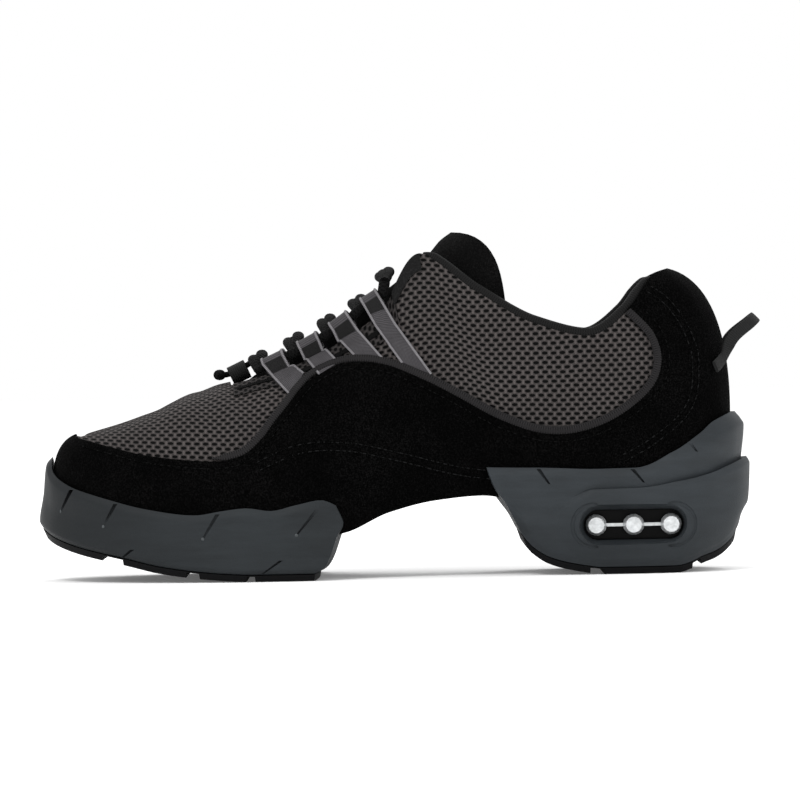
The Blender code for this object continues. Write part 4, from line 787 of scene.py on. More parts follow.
def side_caster():
    """Casts onto the last from the side: gives the point and normal at a distance along and a height."""
    columns, levels = CAST_DETAIL
    count = columns * 2 * ROWS
    points = [Vector(wall(c / columns, v / levels)) for c in range(count) for v in range(levels + 1)]
    faces = []
    for c in range(count):
        a, b = c * (levels + 1), ((c + 1) % count) * (levels + 1)
        faces.extend((a + v, b + v, b + v + 1, a + v + 1) for v in range(levels))
    tree = BVHTree.FromPolygons(points, faces)

    def cast(x, z, side, grow=0.0):
        hit, normal, *_ = tree.ray_cast(Vector((x, side * CAST_REACH, z)), Vector((0, -side, 0)))
        if hit is None:
            hit, normal, *_ = tree.find_nearest(Vector((x, side * 0.1 * CAST_REACH, z)))
        normal = np.array(normal)
        if normal[1] * side < 0:
            normal = -normal
        return np.array(hit) + normal * grow, normal

    return cast


# Sole units


def table_curve(table, index, scale, along=1.0):
    """A column of a table as a function of its first column."""
    return monotone([row[0] * along for row in table], [row[index] * scale for row in table])


GROUNDS = {"forefoot": table_curve(FOREFOOT_GROUND, 1, TOE_SPRING, SOLE_LENGTH),
           "heel": table_curve(HEEL_GROUND, 1, HEEL_CUP, SOLE_LENGTH)}


def ring_of(ends, height, grow, bulge):
    """One closed ring of a sole unit.

    It runs from ends[0] to ends[1] in section rows, then straight back across. bulge moves the
    middle of the way across along x.
    """
    made = []
    for row in np.linspace(*ends, RING_COLUMNS):
        folded = abs(row) if abs(row) <= ROWS else 2 * ROWS - abs(row)
        made.append(wall_at_height(row % (2 * ROWS), height(folded), grow(folded)))
    first, last = made[0], made[-1]
    for i in range(1, BREAST_POINTS + 1):
        share = i / (BREAST_POINTS + 1)
        point = last + (first - last) * share
        point[0] += bulge * 4 * share * (1 - share)
        made.append(point)
    return made


def between(rings):
    """Adds rings between the given ones, on curves that never overshoot them."""
    rings = np.array(rings)
    steps = np.linalg.norm(np.diff(rings, axis=0), axis=2).mean(axis=1)
    at = np.concatenate([[0.0], np.cumsum(steps)])
    wanted = np.unique(np.concatenate([at, np.linspace(0.0, at[-1], RING_STEPS)]))
    made = np.empty((len(wanted), *rings.shape[1:]))
    for i in range(rings.shape[1]):
        for k in range(3):
            curve = monotone(at, rings[:, i, k])
            made[:, i, k] = [curve(t) for t in wanted]
    return list(made)


def stacked(name, rings, home, finish=None):
    """Closes a stack of equal rings with caps that run straight across the shoe."""
    size, half = len(rings[0]), RING_COLUMNS // 2
    faces = []
    for base in range(0, (len(rings) - 1) * size, size):
        for i in range(size):
            j = (i + 1) % size
            faces.append((base + i, base + j, base + size + j, base + size + i))
    for base in (0, (len(rings) - 1) * size):
        faces.append((base + half - 1, base + half, base + half + 1))
        for i in range(1, half):
            faces.append((base + half - i - 1, base + half - i, base + half + i, base + half + i + 1))
        faces.append((base, base + RING_COLUMNS - 1, *range(base + RING_COLUMNS, base + size)))
    return outward(mesh_object(name, [p for ring in rings for p in ring], faces, home, finish))


def dropped(ring, ground, lift):
    """Lays a ring on the ground line, lift above it."""
    return [np.array((p[0], p[1], ground(along_of(p)) + lift)) for p in ring]


def ramp(rows):
    """Rises from 0 to 1 between two section rows."""
    low, high = rows
    return lambda r: min(max((r - low) / (high - low), 0.0), 1.0)


def make_forefoot(last):
    wall_top = table_curve(FOREFOOT_EDGE, 1, FOREFOOT_WALL)
    spread = table_curve(FOREFOOT_EDGE, 2, TOE_OVERHANG)
    ground, rear = GROUNDS["forefoot"], ramp(FOREFOOT_ROUND_ROWS)

    def ring(end, height, grow):
        return ring_of((-end, end), height, grow, FOREFOOT_BREAST_BULGE)

    def floor(r):
        return ground(along_of(foot(r))) + TREAD

    def middle(r):
        return floor(r) + FOREFOOT_BELLY_SHARE * (wall_top(r) - floor(r))

    def shoulder(r):
        return wall_top(r) - FOREFOOT_ROUND[0] - FOREFOOT_ROUND[1] * rear(r)

    a, b, c, d, e = FOREFOOT_ENDS
    rings = [
        dropped(ring(a, floor, lambda r: spread(r) - FOREFOOT_TUCK), ground, TREAD),
        dropped(ring(b, floor, spread), ground, TREAD + FOREFOOT_CORNER),
        ring(c, middle, lambda r: FIT + RAND + FOREFOOT_BELLY),
        ring(d, shoulder, lambda r: FIT + RAND + FOREFOOT_NECK),
        ring(e, wall_top, lambda r: FIT + FOREFOOT_EDGE_SHARE * RAND),
    ]
    body = stacked("forefoot_unit", between(rings), scene, fore_foam)
    boolean(body, last, "DIFFERENCE")
    layers = [dropped(ring(a, floor, lambda r: spread(r) - inset), ground, lift)
              for inset, lift in zip(FOREFOOT_TREAD_INSET, (0.0, TREAD - GAP))]
    return body, stacked("forefoot_tread", layers, scene, rubber)


def make_heel(last):
    wall_top, tier_top = table_curve(HEEL_EDGE, 1, HEEL_CUP), table_curve(HEEL_EDGE, 2, HEEL_CUP)
    ground, behind = GROUNDS["heel"], ramp(HEEL_BEHIND_ROWS)
    back, tier_back = ramp(HEEL_BACK_ROWS), ramp(TIER_BACK_ROWS)

    def ring(front, height, out, backwards=back):
        side, more, most = out
        return ring_of((front, 2 * ROWS - front), height,
                       lambda r: (side + more * backwards(r) + most * behind(r)) * MM, HEEL_BREAST_BULGE)

    def floor(r):
        return ground(along_of(foot(r) + plan_normal(r) * HEEL_SWELL)) + TREAD

    def shoulder(r):
        return wall_top(r) - HEEL_ROUND[0] - HEEL_ROUND[1] * back(r)

    edge_out = ((FIT + HEEL_EDGE_SHARE * RAND) / MM, 0.0, 0.0)
    a, b, c, d, e, f = HEEL_STARTS
    rings = [
        dropped(ring(a, floor, HEEL_OUT[0]), ground, TREAD),
        dropped(ring(b, floor, HEEL_OUT[1]), ground, TREAD + HEEL_CORNER),
        ring(c, lambda r: max(HEEL_SHARES[0] * HEEL_CUP, floor(r) + HEEL_LIFTS[0]), HEEL_OUT[2]),
        ring(d, lambda r: max(HEEL_SHARES[1] * wall_top(r), floor(r) + HEEL_LIFTS[1]), HEEL_OUT[3]),
        ring(e, shoulder, HEEL_OUT[4]),
        ring(f, wall_top, edge_out),
    ]
    body = stacked("heel_unit", between(rings), scene, heel_foam)

    def tier_middle(r):
        return max(0.5 * tier_top(r) + TIER_RISE, floor(r) + TIER_LIFT)

    heights = (floor, floor, tier_middle, lambda r: tier_top(r) - TIER_ROUND, tier_top)
    rings = [ring(start, height, out, tier_back)
             for start, height, out in zip(TIER_STARTS, heights, TIER_OUT)]
    rings[0] = dropped(rings[0], ground, TREAD + TIER_CORNER)
    rings[1] = dropped(rings[1], ground, TREAD + HEEL_CORNER)
    boolean(body, stacked("add_heel_tier", between(rings), tools), "UNION")
    boolean(body, last, "DIFFERENCE")
    layers = [dropped(ring(start, floor, out), ground, lift)
              for start, out, lift in zip(HEEL_TREAD_STARTS, HEEL_TREAD_OUT, (0.0, TREAD - GAP))]
    return body, stacked("heel_tread", layers, scene, rubber)


def stadium(length, height, count):
    """Outline of a slot with round ends, as x-z pairs about its centre."""
    radius = height / 2
    made = []
    for i in range(count):
        angle = 2 * np.pi * (i + 0.5) / count
        shift = np.sign(np.cos(angle)) * (length / 2 - radius)
        made.append((shift + radius * np.cos(angle), radius * np.sin(angle)))
    return made


def loft_y(name, outlines, depths, side, home, finish=None):
    """Stacks x-z outlines at given distances from the centre plane."""
    size = len(outlines[0])
    points, faces = [], []
    for outline, depth in zip(outlines, depths):
        points.extend((x, side * depth, z) for x, z in outline)
    for r in range(len(outlines) - 1):
        for i in range(size):
            j = (i + 1) % size
            faces.append((r * size + i, r * size + j, (r + 1) * size + j, (r + 1) * size + i))
    faces.append(tuple(range(size - 1, -1, -1)))
    faces.append(tuple(range((len(outlines) - 1) * size, len(outlines) * size)))
    return outward(mesh_object(name, points, faces, home, finish))


def make_window(heel):
    """Slot in each side of the heel, with a dark plate and three joined studs inside it."""

    def outline(shrink):
        flat = stadium(WINDOW_LENGTH - 2 * shrink, WINDOW_HEIGHT - 2 * shrink, SLOT_POINTS)
        return [(WINDOW_X + x, WINDOW_Z + z) for x, z in flat]

    front = WINDOW_FLOOR + GAP + PLATE_THICKNESS
    depths = [front + GAP + share * STUD_LENGTH for share in STUD_STEPS]
    middle, half_bar = front + GAP + 0.5 * STUD_LENGTH, STUD_BAR / 2
    bar_ends = [(WINDOW_X + sx * STUD_PITCH, WINDOW_Z + sz * half_bar)
                for sx, sz in ((-1, -1), (1, -1), (1, 1), (-1, 1))]
    for side, label in SIDES:
        cutter = loft_y("cut_window_" + label, [outline(0), outline(0), outline(-WINDOW_BEVEL)],
                        [WINDOW_FLOOR, WINDOW_MOUTH, WINDOW_OUTSIDE], side, tools)
        boolean(heel, cutter, "DIFFERENCE")
        loft_y("window_plate_" + label, [outline(GAP), outline(GAP)], [WINDOW_FLOOR + GAP, front],
               side, scene, plate)
        studs = []
        for step in (-1, 0, 1):
            at = WINDOW_X + step * STUD_PITCH
            radii = (STUD_RADIUS, STUD_RADIUS * STUD_TIP)
            girth, tip = ([(at + radius * np.cos(a), WINDOW_Z + radius * np.sin(a))
                           for a in full_turn(STUD_SIDES)] for radius in radii)
            name, home = "window_studs_" + label, scene
            if studs:
                name, home = f"add_stud_{label}_{step}", tools
            studs.append(loft_y(name, [tip, girth, girth, tip], depths, side, home, stud))
        studs.append(loft_y("add_bar_" + label, [bar_ends, bar_ends],
                            [middle - half_bar, middle + half_bar], side, tools))
        for other in studs[1:]:
            boolean(studs[0], other, "UNION")


def row_at(along, side):
    """Section row whose foot lies at a distance behind the front of the sole."""
    rows = np.linspace(0, ROWS, ROW_STEPS)
    reach = np.array([along_of(foot(r) + plan_normal(r) * SOLE_SPREAD) for r in rows])
    return turned(float(np.interp(along, reach, rows)), side)


def make_side_slits(units):
    """Moulded slashes along both units, twice as wide at their tops."""
    for number, (unit, along, height, lean, length) in enumerate(SIDE_SLITS):
        x, z = along * SOLE_LENGTH - HEEL_TREAD_CENTRE, height * MM
        run, rise = lean_of(lean, length)
        outline = [(x - run - SLIT_WIDTH / 2, z - rise), (x - run + SLIT_WIDTH / 2, z - rise),
                   (x + run + SLIT_WIDTH, z + rise), (x + run - SLIT_WIDTH, z + rise)]
        for side, label in SIDES:
            row = row_at(along * SOLE_LENGTH, side)
            reach = abs(wall_at_height(row, z, FIT + RAND + SLIT_REACH)[1])
            depths = [reach - SLIT_DEPTHS[unit], reach + SLIT_BEYOND]
            blade = loft_y(f"cut_slit_{number}_{label}", [outline, outline], depths, side, tools)
            boolean(units[unit], blade, "DIFFERENCE")


def lean_of(lean, length):
    """Half the way along and half the way up of a slash, from its lean in degrees and length in mm."""
    angle = np.radians(lean)
    return np.sin(angle) * length * MM / 2, np.cos(angle) * length * MM / 2


def make_tread_grooves(treads):
    """Grooves that part the tread into lugs, straight across the shoe."""
    for number, (unit, *ends) in enumerate(TREAD_GROOVES):
        x0, x1 = (end * SOLE_LENGTH for end in ends)
        z0, z1 = GROUNDS[unit](x0), GROUNDS[unit](x1)
        outline = [(x0, z0 + GROOVE_DEPTH), (x1, z1 + GROOVE_DEPTH),
                   (x1 + GROOVE_SLOPE, z1 - GROOVE_UNDER), (x0 - GROOVE_SLOPE, z0 - GROOVE_UNDER)]
        outline = [(x - HEEL_TREAD_CENTRE, z) for x, z in outline]
        groove = loft_y(f"cut_groove_{number}", [outline, outline], [-BALL_WIDTH, BALL_WIDTH], 1, tools)
        boolean(treads[unit], groove, "DIFFERENCE")


# Materials


class Value:
    """What a shading node gives, for use in sums and products."""

    def __init__(self, sheet, socket):
        self.sheet = sheet
        self.socket = socket

    def __add__(self, other):
        return self.sheet.math("ADD", self, other)

    def __sub__(self, other):
        return self.sheet.math("SUBTRACT", self, other)

    def __mul__(self, other):
        return self.sheet.math("MULTIPLY", self, other)

    def __truediv__(self, other):
        return self.sheet.math("DIVIDE", self, other)

    def __mod__(self, other):
        return self.sheet.math("FLOORED_MODULO", self, other)

    def __pow__(self, other):
        return self.sheet.math("POWER", self, other)

    def __abs__(self):
        return self.sheet.math("ABSOLUTE", self)


class Shading:
    """A material and short ways to add nodes to it."""

    def __init__(self, name, **values):
        self.made = bpy.data.materials.new(name)
        self.made.use_nodes = True
        self.tree = self.made.node_tree
        self.shader = self.tree.nodes["Principled BSDF"]
        for key, value in values.items():
            self.give(key.replace("_", " "), value)

    def give(self, name, value):
        self.feed(self.shader.inputs[name], value)

    def add(self, kind, values=(), output=0, **settings):
        node = self.tree.nodes.new(kind)
        for key, value in settings.items():
            setattr(node, key, value)
        for key, value in dict(values).items():
            self.feed(node.inputs[key], value)
        return Value(self, node.outputs[output])

    def feed(self, socket, value):
        if isinstance(value, Value):
            self.tree.links.new(value.socket, socket)
        elif isinstance(value, tuple) and socket.type == "RGBA":
            socket.default_value = (*value, 1.0)
        else:
            socket.default_value = value

    def math(self, operation, first, second=0.0):
        return self.add("ShaderNodeMath", {0: first, 1: second}, operation=operation)

    def spot(self):
        return self.add("ShaderNodeTexCoord", output="Object")

    def split(self, vector):
        first = self.add("ShaderNodeSeparateXYZ", {0: vector})
        return [Value(self, socket) for socket in first.socket.node.outputs]

    def noise(self, scale, detail=2.0, roughness=0.5, vector=None):
        values = {"Scale": scale, "Detail": detail, "Roughness": roughness, "Vector": vector or self.spot()}
        return self.add("ShaderNodeTexNoise", values)

    def ramp(self, value, low, high, to_low=0.0, to_high=1.0):
        values = {"Value": value, "From Min": low, "From Max": high, "To Min": to_low, "To Max": to_high}
        return self.add("ShaderNodeMapRange", values, interpolation_type="SMOOTHSTEP")

    def mix(self, share, first, second):
        return self.add("ShaderNodeMix", {"Factor": share, 6: first, 7: second}, 2, data_type="RGBA")

    def uv(self):
        """The woven pieces' own u and v, in mm."""
        return self.split(self.add("ShaderNodeUVMap", uv_map="weave"))[:2]

    def wave(self, value, pitch):
        return self.math("SINE", value * (2 * np.pi / pitch))

    def bump(self, height, depth, strength=1.0):
        values = {"Height": height, "Distance": depth, "Strength": strength}
        self.give("Normal", self.add("ShaderNodeBump", values))

    def colour(self, share, low, high):
        self.give("Base Color", self.mix(share, low, high))


def knitted_mesh(name, yarn, hole):
    """Sports mesh: rows of staggered long holes between round yarns."""
    s = Shading(name, Roughness=0.9, Specular_IOR_Level=0.08, Sheen_Weight=0.02, Sheen_Roughness=0.5)
    u, v = s.uv()
    row = (v + (s.noise(90.0) - 0.5) * 0.9) / HOLE_ROW
    odd = s.math("FLOOR", row) % 2.0 * 0.5
    across = s.math("FRACT", u / HOLE_PITCH + odd) - 0.5
    rise = s.math("FRACT", row) - 0.5
    wide = abs(across * (2 * HOLE_PITCH / HOLE_LENGTH)) ** 2.4
    high = abs(rise * (2 * HOLE_ROW / HOLE_HEIGHT)) ** 2.0
    cloth = s.ramp(wide + high, 0.62, 1.55)
    ply = s.noise(2600.0, 2.0, 0.6)
    bridge = s.ramp(abs(across), 0.28, 0.5)
    drift = s.noise(35.0) * 0.5 + 0.75
    lit = s.mix((ply * 0.7 + 0.35) * (bridge * 0.75 + 0.55) * drift, YARN_SHADE, yarn)
    s.colour(cloth, hole, lit)
    s.bump(bridge * 0.25 + ply * 0.2 + cloth * 0.8, 0.0007)
    return s.made


def napped(name, dark, light, sheen, depth):
    """Suede or velvet: a short nap with brushed patches."""
    s = Shading(name, Roughness=0.97, Specular_IOR_Level=0.02, Sheen_Weight=sheen, Sheen_Roughness=0.45)
    patches = s.ramp(s.noise(45.0, 3.0, 0.6), 0.25, 0.75, 0.35, 1.0)
    nap = s.noise(1300.0, 3.0, 0.7)
    hairs = s.noise(2300.0, 2.0, 0.6)
    s.colour(patches * s.ramp(hairs * 0.6 + nap * 0.4, 0.44, 0.66), dark, light)
    s.bump(hairs * 0.45 + nap, depth, 0.8)
    return s.made


def taped(name, dark, light, rib, roughness, sheen):
    """Woven tape: fine ribs across its length."""
    s = Shading(name, Roughness=roughness, Specular_IOR_Level=0.12, Sheen_Weight=sheen, Sheen_Roughness=0.4)
    u, v = s.uv()
    ribs = s.wave(v, rib)
    weave = ribs * s.wave(u, 0.8 * rib) * 0.25 + (ribs * 0.25 + 0.5)
    soft = s.noise(160.0, 3.0)
    s.colour(weave * (soft * 0.9 + 0.5), dark, light)
    s.give("Roughness", soft * 0.2 + (roughness - 0.1))
    s.bump(weave, 0.00025, 0.8)
    return s.made


def braided(name, dark, light):
    """Round or oval lace: two sets of slanting plaits."""
    s = Shading(name, Roughness=0.8, Specular_IOR_Level=0.06, Sheen_Weight=0.01, Sheen_Roughness=0.4)
    u, v = s.uv()
    plait = s.math("MAXIMUM", s.wave(u + v, PLAIT), s.wave(u - v, PLAIT)) * 0.5 + 0.5
    s.colour(plait * (s.noise(220.0) + 0.3), dark, light)
    s.bump(plait, 0.0004, 0.9)
    return s.made


def moulded(name, colour, dark, axis, start, end, first):
    """Foamed sole: a fine skin grain, faint flow marks and rubbed places, and painted shade that darkens it
    towards one end.
    """
    s = Shading(name, Specular_IOR_Level=0.22)
    # painted shade: the colour darkens along one axis of the object, from end down to start, where it is
    # the share first of itself
    painted_shade = s.ramp(s.split(s.spot())[axis], start, end, first, 1.0)
    grain = s.noise(1700.0, 3.0, 0.6)
    flow = s.add("ShaderNodeMapping", {"Vector": s.spot(), "Scale": FLOW_SCALE})
    marks, clouds = s.noise(1.0, 4.0, 0.65, flow), s.noise(28.0, 3.0, 0.55)
    s.colour(s.ramp(marks * 0.5 + clouds * 0.5, 0.3, 0.7, 0.3, 1.0) * painted_shade, dark, colour)
    s.give("Roughness", clouds * 0.3 + 0.47)
    s.bump(grain * 0.6 + marks * 0.5, 0.00016, 0.9)
    return s.made


def plain(name, colour, roughness, grain=900.0, depth=0.0001, **values):
    s = Shading(name, Roughness=roughness, **values)
    spread = s.noise(grain, 2.0, 0.6)
    s.colour(s.ramp(spread, 0.3, 0.7), tuple(0.75 * c for c in colour), colour)
    s.bump(spread, depth, 0.6)
    return s.made


# Bars, straps and stitches


def skin(name, rings, finish, home=scene, closed=False):
    """A tube through rings of equal size, with u around and v along it in mm."""
    rings = np.array(rings)
    count, size = rings.shape[:2]
    us = travelled([*rings[0], rings[0][0]]) / MM
    middles = rings.mean(axis=1)
    vs = travelled([*middles, middles[0]]) / MM
    faces, corners = [], []
    for i in range(count if closed else count - 1):
        n = (i + 1) % count
        for j in range(size):
            k = (j + 1) % size
            faces.append((i * size + j, i * size + k, n * size + k, n * size + j))
            corners += [(us[j], vs[i]), (us[j + 1], vs[i]), (us[j + 1], vs[i + 1]), (us[j], vs[i + 1])]
    if not closed:
        for base, turn in ((0, -1), ((count - 1) * size, 1)):
            faces.append(tuple(range(base, base + size))[::turn])
            corners += [(us[j], vs[base // size]) for j in range(size)][::turn]
    mesh = bpy.data.meshes.new(name)
    mesh.from_pydata([tuple(p) for p in rings.reshape(-1, 3)], [], faces)
    mesh.uv_layers.new(name="weave").data.foreach_set("uv", np.array(corners, float).ravel())
    mesh.materials.append(finish)
    obj = bpy.data.objects.new(name, mesh)
    home.objects.link(obj)
    outward(obj)
    mesh.shade_smooth()
    mesh.set_sharp_from_angle(angle=np.radians(50))
    return obj


def frames(points, normals):
    """Cross directions and square normals along a line."""
    ways = directions(points)
    normals = np.array(normals)
    normals = normed(normals - ways * np.sum(normals * ways, axis=1)[:, None])
    return np.cross(ways, normals), normals


def bar(name, points, normals, profile, finish, widths=None):
    """A rounded bar along a line. widths scales the profile along it."""
    across, out = frames(points, normals)
    widths = np.ones(len(points)) if widths is None else widths
    rings = [[p + c * a * w + n * b * w for a, b in profile]
             for p, c, n, w in zip(np.array(points), across, out, widths)]
    return skin(name, rings, finish)


def superellipse(half_width, half_height, count, power=2.6, lift=0.0):
    made = []
    for angle in full_turn(count):
        c, s = np.cos(angle), np.sin(angle)
        made.append((half_width * np.sign(c) * abs(c) ** (2 / power),
                     lift + half_height * np.sign(s) * abs(s) ** (2 / power)))
    return made


def stitches(name, lines, finish, length, space):
    """Rows of separate threads that lie on the surface. lines holds (points, normals) pairs."""
    verts, faces = [], []
    radius = STITCH_RADIUS
    for points, normals in lines:
        path = evenly(np.hstack([points, normals]), STITCH_GRAIN)
        points = path[:, :3]
        across, out = frames(points, path[:, 3:])
        at = 0.5 * space / MM
        while at + length / STITCH_GRAIN < len(points) - 1:
            base = len(verts)
            for share, size in STITCH_SHAPE:
                i = int(round(at + share * length / STITCH_GRAIN))
                arch = (size * 0.9 - STITCH_SINK) * radius
                for angle in full_turn(STITCH_SIDES):
                    verts.append(points[i] + across[i] * np.cos(angle) * radius * size
                                 + out[i] * (arch + np.sin(angle) * radius * size))
            for a in range(base, len(verts) - STITCH_SIDES, STITCH_SIDES):
                for k in range(STITCH_SIDES):
                    n = (k + 1) % STITCH_SIDES
                    faces.append((a + k, a + STITCH_SIDES + k, a + STITCH_SIDES + n, a + n))
            faces.append(tuple(range(base, base + STITCH_SIDES)))
            faces.append(tuple(range(len(verts) - 1, len(verts) - 1 - STITCH_SIDES, -1)))
            at += (length + space) / STITCH_GRAIN
    return outward(mesh_object(name, verts, faces, scene, finish))


def zigzag(points, normals, reach, step):
    """Turns a line into a zigzag across it."""
    both = evenly(np.hstack([points, normals]), step)
    across = frames(both[:, :3], both[:, 3:])[0]
    signs = np.where(np.arange(len(both)) % 2 == 0, 1.0, -1.0)[:, None]
    return both[:, :3] + across * reach * signs, both[:, 3:]


def on_side(line, side, grow, step=1.0 * MM):
    """Lays an x-z line on the side of the shoe; returns its points and normals."""
    hits = np.array([cast(x, z, side, grow) for x, z in evenly(line, step)])
    return hits[:, 0], hits[:, 1]


def below(ways):
    """Directions in x-z that point to the lower side of the given ones."""
    return np.stack([ways[:, 1], -ways[:, 0]], axis=1)


def beside(line, shift):
    """A line in x-z moved to its lower side."""
    return np.array(line) + below(directions(line)) * shift


def side_line(pairs):
    """Smooth x-z line through pairs of mm behind the toe and mm high."""
    return np.array(smooth_line([(a * MM - HEEL_TREAD_CENTRE, b * MM) for a, b in pairs], 60))


def seam_line():
    ends = [side_point(x, z) for x, z in SEAM_LINE]
    return np.array(smooth_line([(p[0], p[2]) for p in ends], FINE_SEAM))


def weave_map(obj):
    """u runs along the shoe, v up the wall and over the vamp, both in mm."""
    columns, rises, strips_across = FINE_DETAIL
    mesh = obj.data
    points = np.empty(len(mesh.vertices) * 3)
    mesh.vertices.foreach_get("co", points)
    points = points.reshape(-1, 3)
    count, tall, inner = 2 * ROWS * columns, rises + 1, strips_across - 1
    vs = np.zeros(len(points))
    for c in range(count):
        vs[c * tall : (c + 1) * tall] = travelled(points[c * tall : (c + 1) * tall]) / MM
    for c in range(1, THROAT_ROW * columns + 1):
        start = count * tall + (c - 1) * inner
        left, right = c * tall + rises, (count - c) * tall + rises
        reach = travelled(points[[left, *range(start, start + inner), right]]) / MM
        vs[start : start + inner] = vs[left] + np.minimum(reach, reach[-1] - reach)[1:-1]
    index = np.empty(len(mesh.loops), int)
    mesh.loops.foreach_get("vertex_index", index)
    uv = np.stack([(points[:, 0] / MM)[index], vs[index]], axis=1)
    mesh.uv_layers.new(name="weave").data.foreach_set("uv", uv.ravel())


# The pieces

cloth = knitted_mesh("knitted_mesh", (0.081, 0.0715, 0.0690), (0.0008, 0.0008, 0.0008))
# mesh of the throat facing: a darker copy of the upper's mesh, painted shade under the lace and loops
facing_cloth_shaded = knitted_mesh("facing_mesh_shaded", (0.040, 0.036, 0.035), (0.0008, 0.0008, 0.0008))
suede = napped("black_suede", (0.0003, 0.0003, 0.0003), (0.0060, 0.0058, 0.0058), 0.002, 0.0004)
velvet = napped("tongue_velvet", (0.002, 0.002, 0.002), (0.011, 0.0108, 0.0105), 0.02, 0.0004)
binding = taped("knit_tape", (0.004, 0.0038, 0.0039), (0.022, 0.0205, 0.0215), 0.9, 0.85, 0.03)
collar_tape = taped("collar_tape", (0.002, 0.002, 0.002), (0.011, 0.0107, 0.0107), 0.9, 0.85, 0.03)
webbing = taped("ribbed_webbing", (0.012, 0.0113, 0.0123), (0.090, 0.085, 0.091), 0.75, 0.6, 0.05)
selvedge = taped("webbing_edge", (0.07, 0.067, 0.071), (0.26, 0.25, 0.262), 0.6, 0.5, 0.05)
# dark tape of the sewn stretch below each fold, partly painted shadow under the fold
tack_shadow_cloth = taped("tack_thread_shadow", (0.004, 0.004, 0.004), (0.019, 0.0185, 0.019), 0.5, 0.8, 0.02)
patch_cloth = napped("eyestay_cloth", (0.009, 0.009, 0.009), (0.024, 0.024, 0.024), 0.01, 0.0002)
tab_tape = taped("tab_tape", (0.004, 0.004, 0.004), (0.018, 0.0185, 0.018), 0.8, 0.8, 0.02)
loop_tape = taped("pull_tape", (0.005, 0.005, 0.005), (0.021, 0.0215, 0.0215), 0.8, 0.8, 0.02)
laces = braided("braided_lace", (0.0008, 0.0008, 0.0008), (0.0055, 0.0055, 0.0055))
lining = napped("lining_cloth", (0.004, 0.004, 0.004), (0.012, 0.012, 0.012), 0.01, 0.0002)
sock = napped("insole_cloth", (0.006, 0.006, 0.006), (0.018, 0.018, 0.019), 0.02, 0.0002)
# painted shade: the forefoot unit darkens towards the toe, to 0.05 of its colour at the front
fore_foam = moulded("forefoot_foam", (0.0168, 0.0205, 0.0232), (0.0055, 0.0070, 0.0082), 0,
                    -0.232, -0.150, 0.05)
# painted shade: the heel unit darkens towards the ground, to 0.55 of its colour below 10 mm
heel_foam = moulded("heel_foam", (0.0262, 0.0315, 0.0362), (0.0105, 0.0130, 0.0150), 2,
                    0.010, 0.042, 0.55)
rubber = plain("tread_rubber_black", (0.0025, 0.0025, 0.003), 0.7, Specular_IOR_Level=0.1)
plate = plain("window_black", (0.0008, 0.0008, 0.001), 0.35, 300.0, 0.00002, Specular_IOR_Level=0.08)
stud = plain("stud_clear", (0.70, 0.72, 0.73), 0.18, 500.0, 0.0006, Metallic=0.3)
thread = plain("stitch_thread", (0.0075, 0.0075, 0.0078), 0.8, 2000.0, Specular_IOR_Level=0.1)
dark_thread = plain("stitch_thread_black", (0.0015, 0.0015, 0.0015), 0.8, 2000.0, Specular_IOR_Level=0.1)
pale_dot = plain("moulding_pip", (0.068, 0.076, 0.080), 0.6, Specular_IOR_Level=0.2)

# Upper: one shell with the lining as its inner face
shell = last_form("upper_shell", 0.0, scene, FINE_DETAIL, cloth)
weave_map(shell)
shell.data.materials.append(lining)
padding = shell.vertex_groups.new(name="padding")
columns, rises, _ = FINE_DETAIL
for c in range(2 * ROWS * columns):
    row = min(c, 2 * ROWS * columns - c) / columns
    back = float(ramp(PADDED_ROWS)(row))
    for v in range(rises + 1):
        padding.add([c * (rises + 1) + v], back * (v / rises) ** 1.5, "REPLACE")
thick = solidify(shell, COLLAR_WALL)
thick.vertex_group = "padding"
thick.thickness_vertex_group = VAMP_WALL / COLLAR_WALL
thick.material_offset = 1
piece(settle(shell), "mesh_fabric", "upper")

cast = side_caster()
seam = seam_line()

# Suede overlay, cut along the seam and further down where the piping stands on a steep wall
overlay = last_form("suede_shell", OVERLAY_OUT, scene, FINE_DETAIL, suede)
solidify(overlay, OVERLAY_THICKNESS)
outline = []
for point, way in zip(seam, below(directions(seam))):
    normal = cast(point[0], point[1], -1)[1]
    facing = max(normal[0] * way[0] + normal[2] * way[1], 0.0)
    outline.append(tuple(point + way * (SEAM_LAP * PIPING_WIDTH + facing * PIPING_HEIGHT)))
top = COLLAR_HEIGHT * WINDOW_TOP
outline += [(outline[-1][0], top), (outline[0][0], top)]
window = loft_y("cut_mesh_window", [outline, outline], [-BALL_WIDTH, BALL_WIDTH], 1, tools)
boolean(overlay, window, "DIFFERENCE")
piece(settle(overlay), "suede", "suede_overlay")

# Piping along the seam
first = int(PIPING_START / (len(SEAM_LINE) - 1) * (FINE_SEAM - 1))
round_tape = superellipse(PIPING_WIDTH / 2, PIPING_HEIGHT / 2, 14, 2.4, PIPING_HEIGHT / 2)
for side, label in SIDES:
    points, normals = on_side(seam[first:-3], side, GAP, 0.8 * MM)
    for _ in range(3):
        normals[1:-1] = (normals[:-2] + normals[1:-1] + normals[2:]) / 3
    size = np.clip(np.arange(len(points)) / 6, 0.35, 1.0)
    piece(bar("seam_tape_" + label, points, normals, round_tape, binding, size), "trim", "piping_" + label)

# Bound collar edge: a soft roll that tapers into the suede of the heel
profile = superellipse(0.62 * COLLAR_WALL, 1.95 * MM, 20, 2.2, 0.6 * MM)
for side, label in SIDES:
    rows = [turned(row, side) for row in np.arange(*ROLL_ROWS)]
    points = [rim(row) - wall_normal(row, 1.0) * COLLAR_WALL / 2 for row in rows]
    normals = [normed(bare_wall(row, 1.0) - bare_wall(row, 0.93)) for row in rows]
    steps = np.arange(len(rows))
    size = 0.5 + 0.5 * np.minimum(steps / 6, steps[::-1] / 22).clip(0, 1)
    roll = bar("collar_roll_" + label, points, normals, profile, collar_tape, size)
    piece(roll, "trim", "collar_binding_" + label)

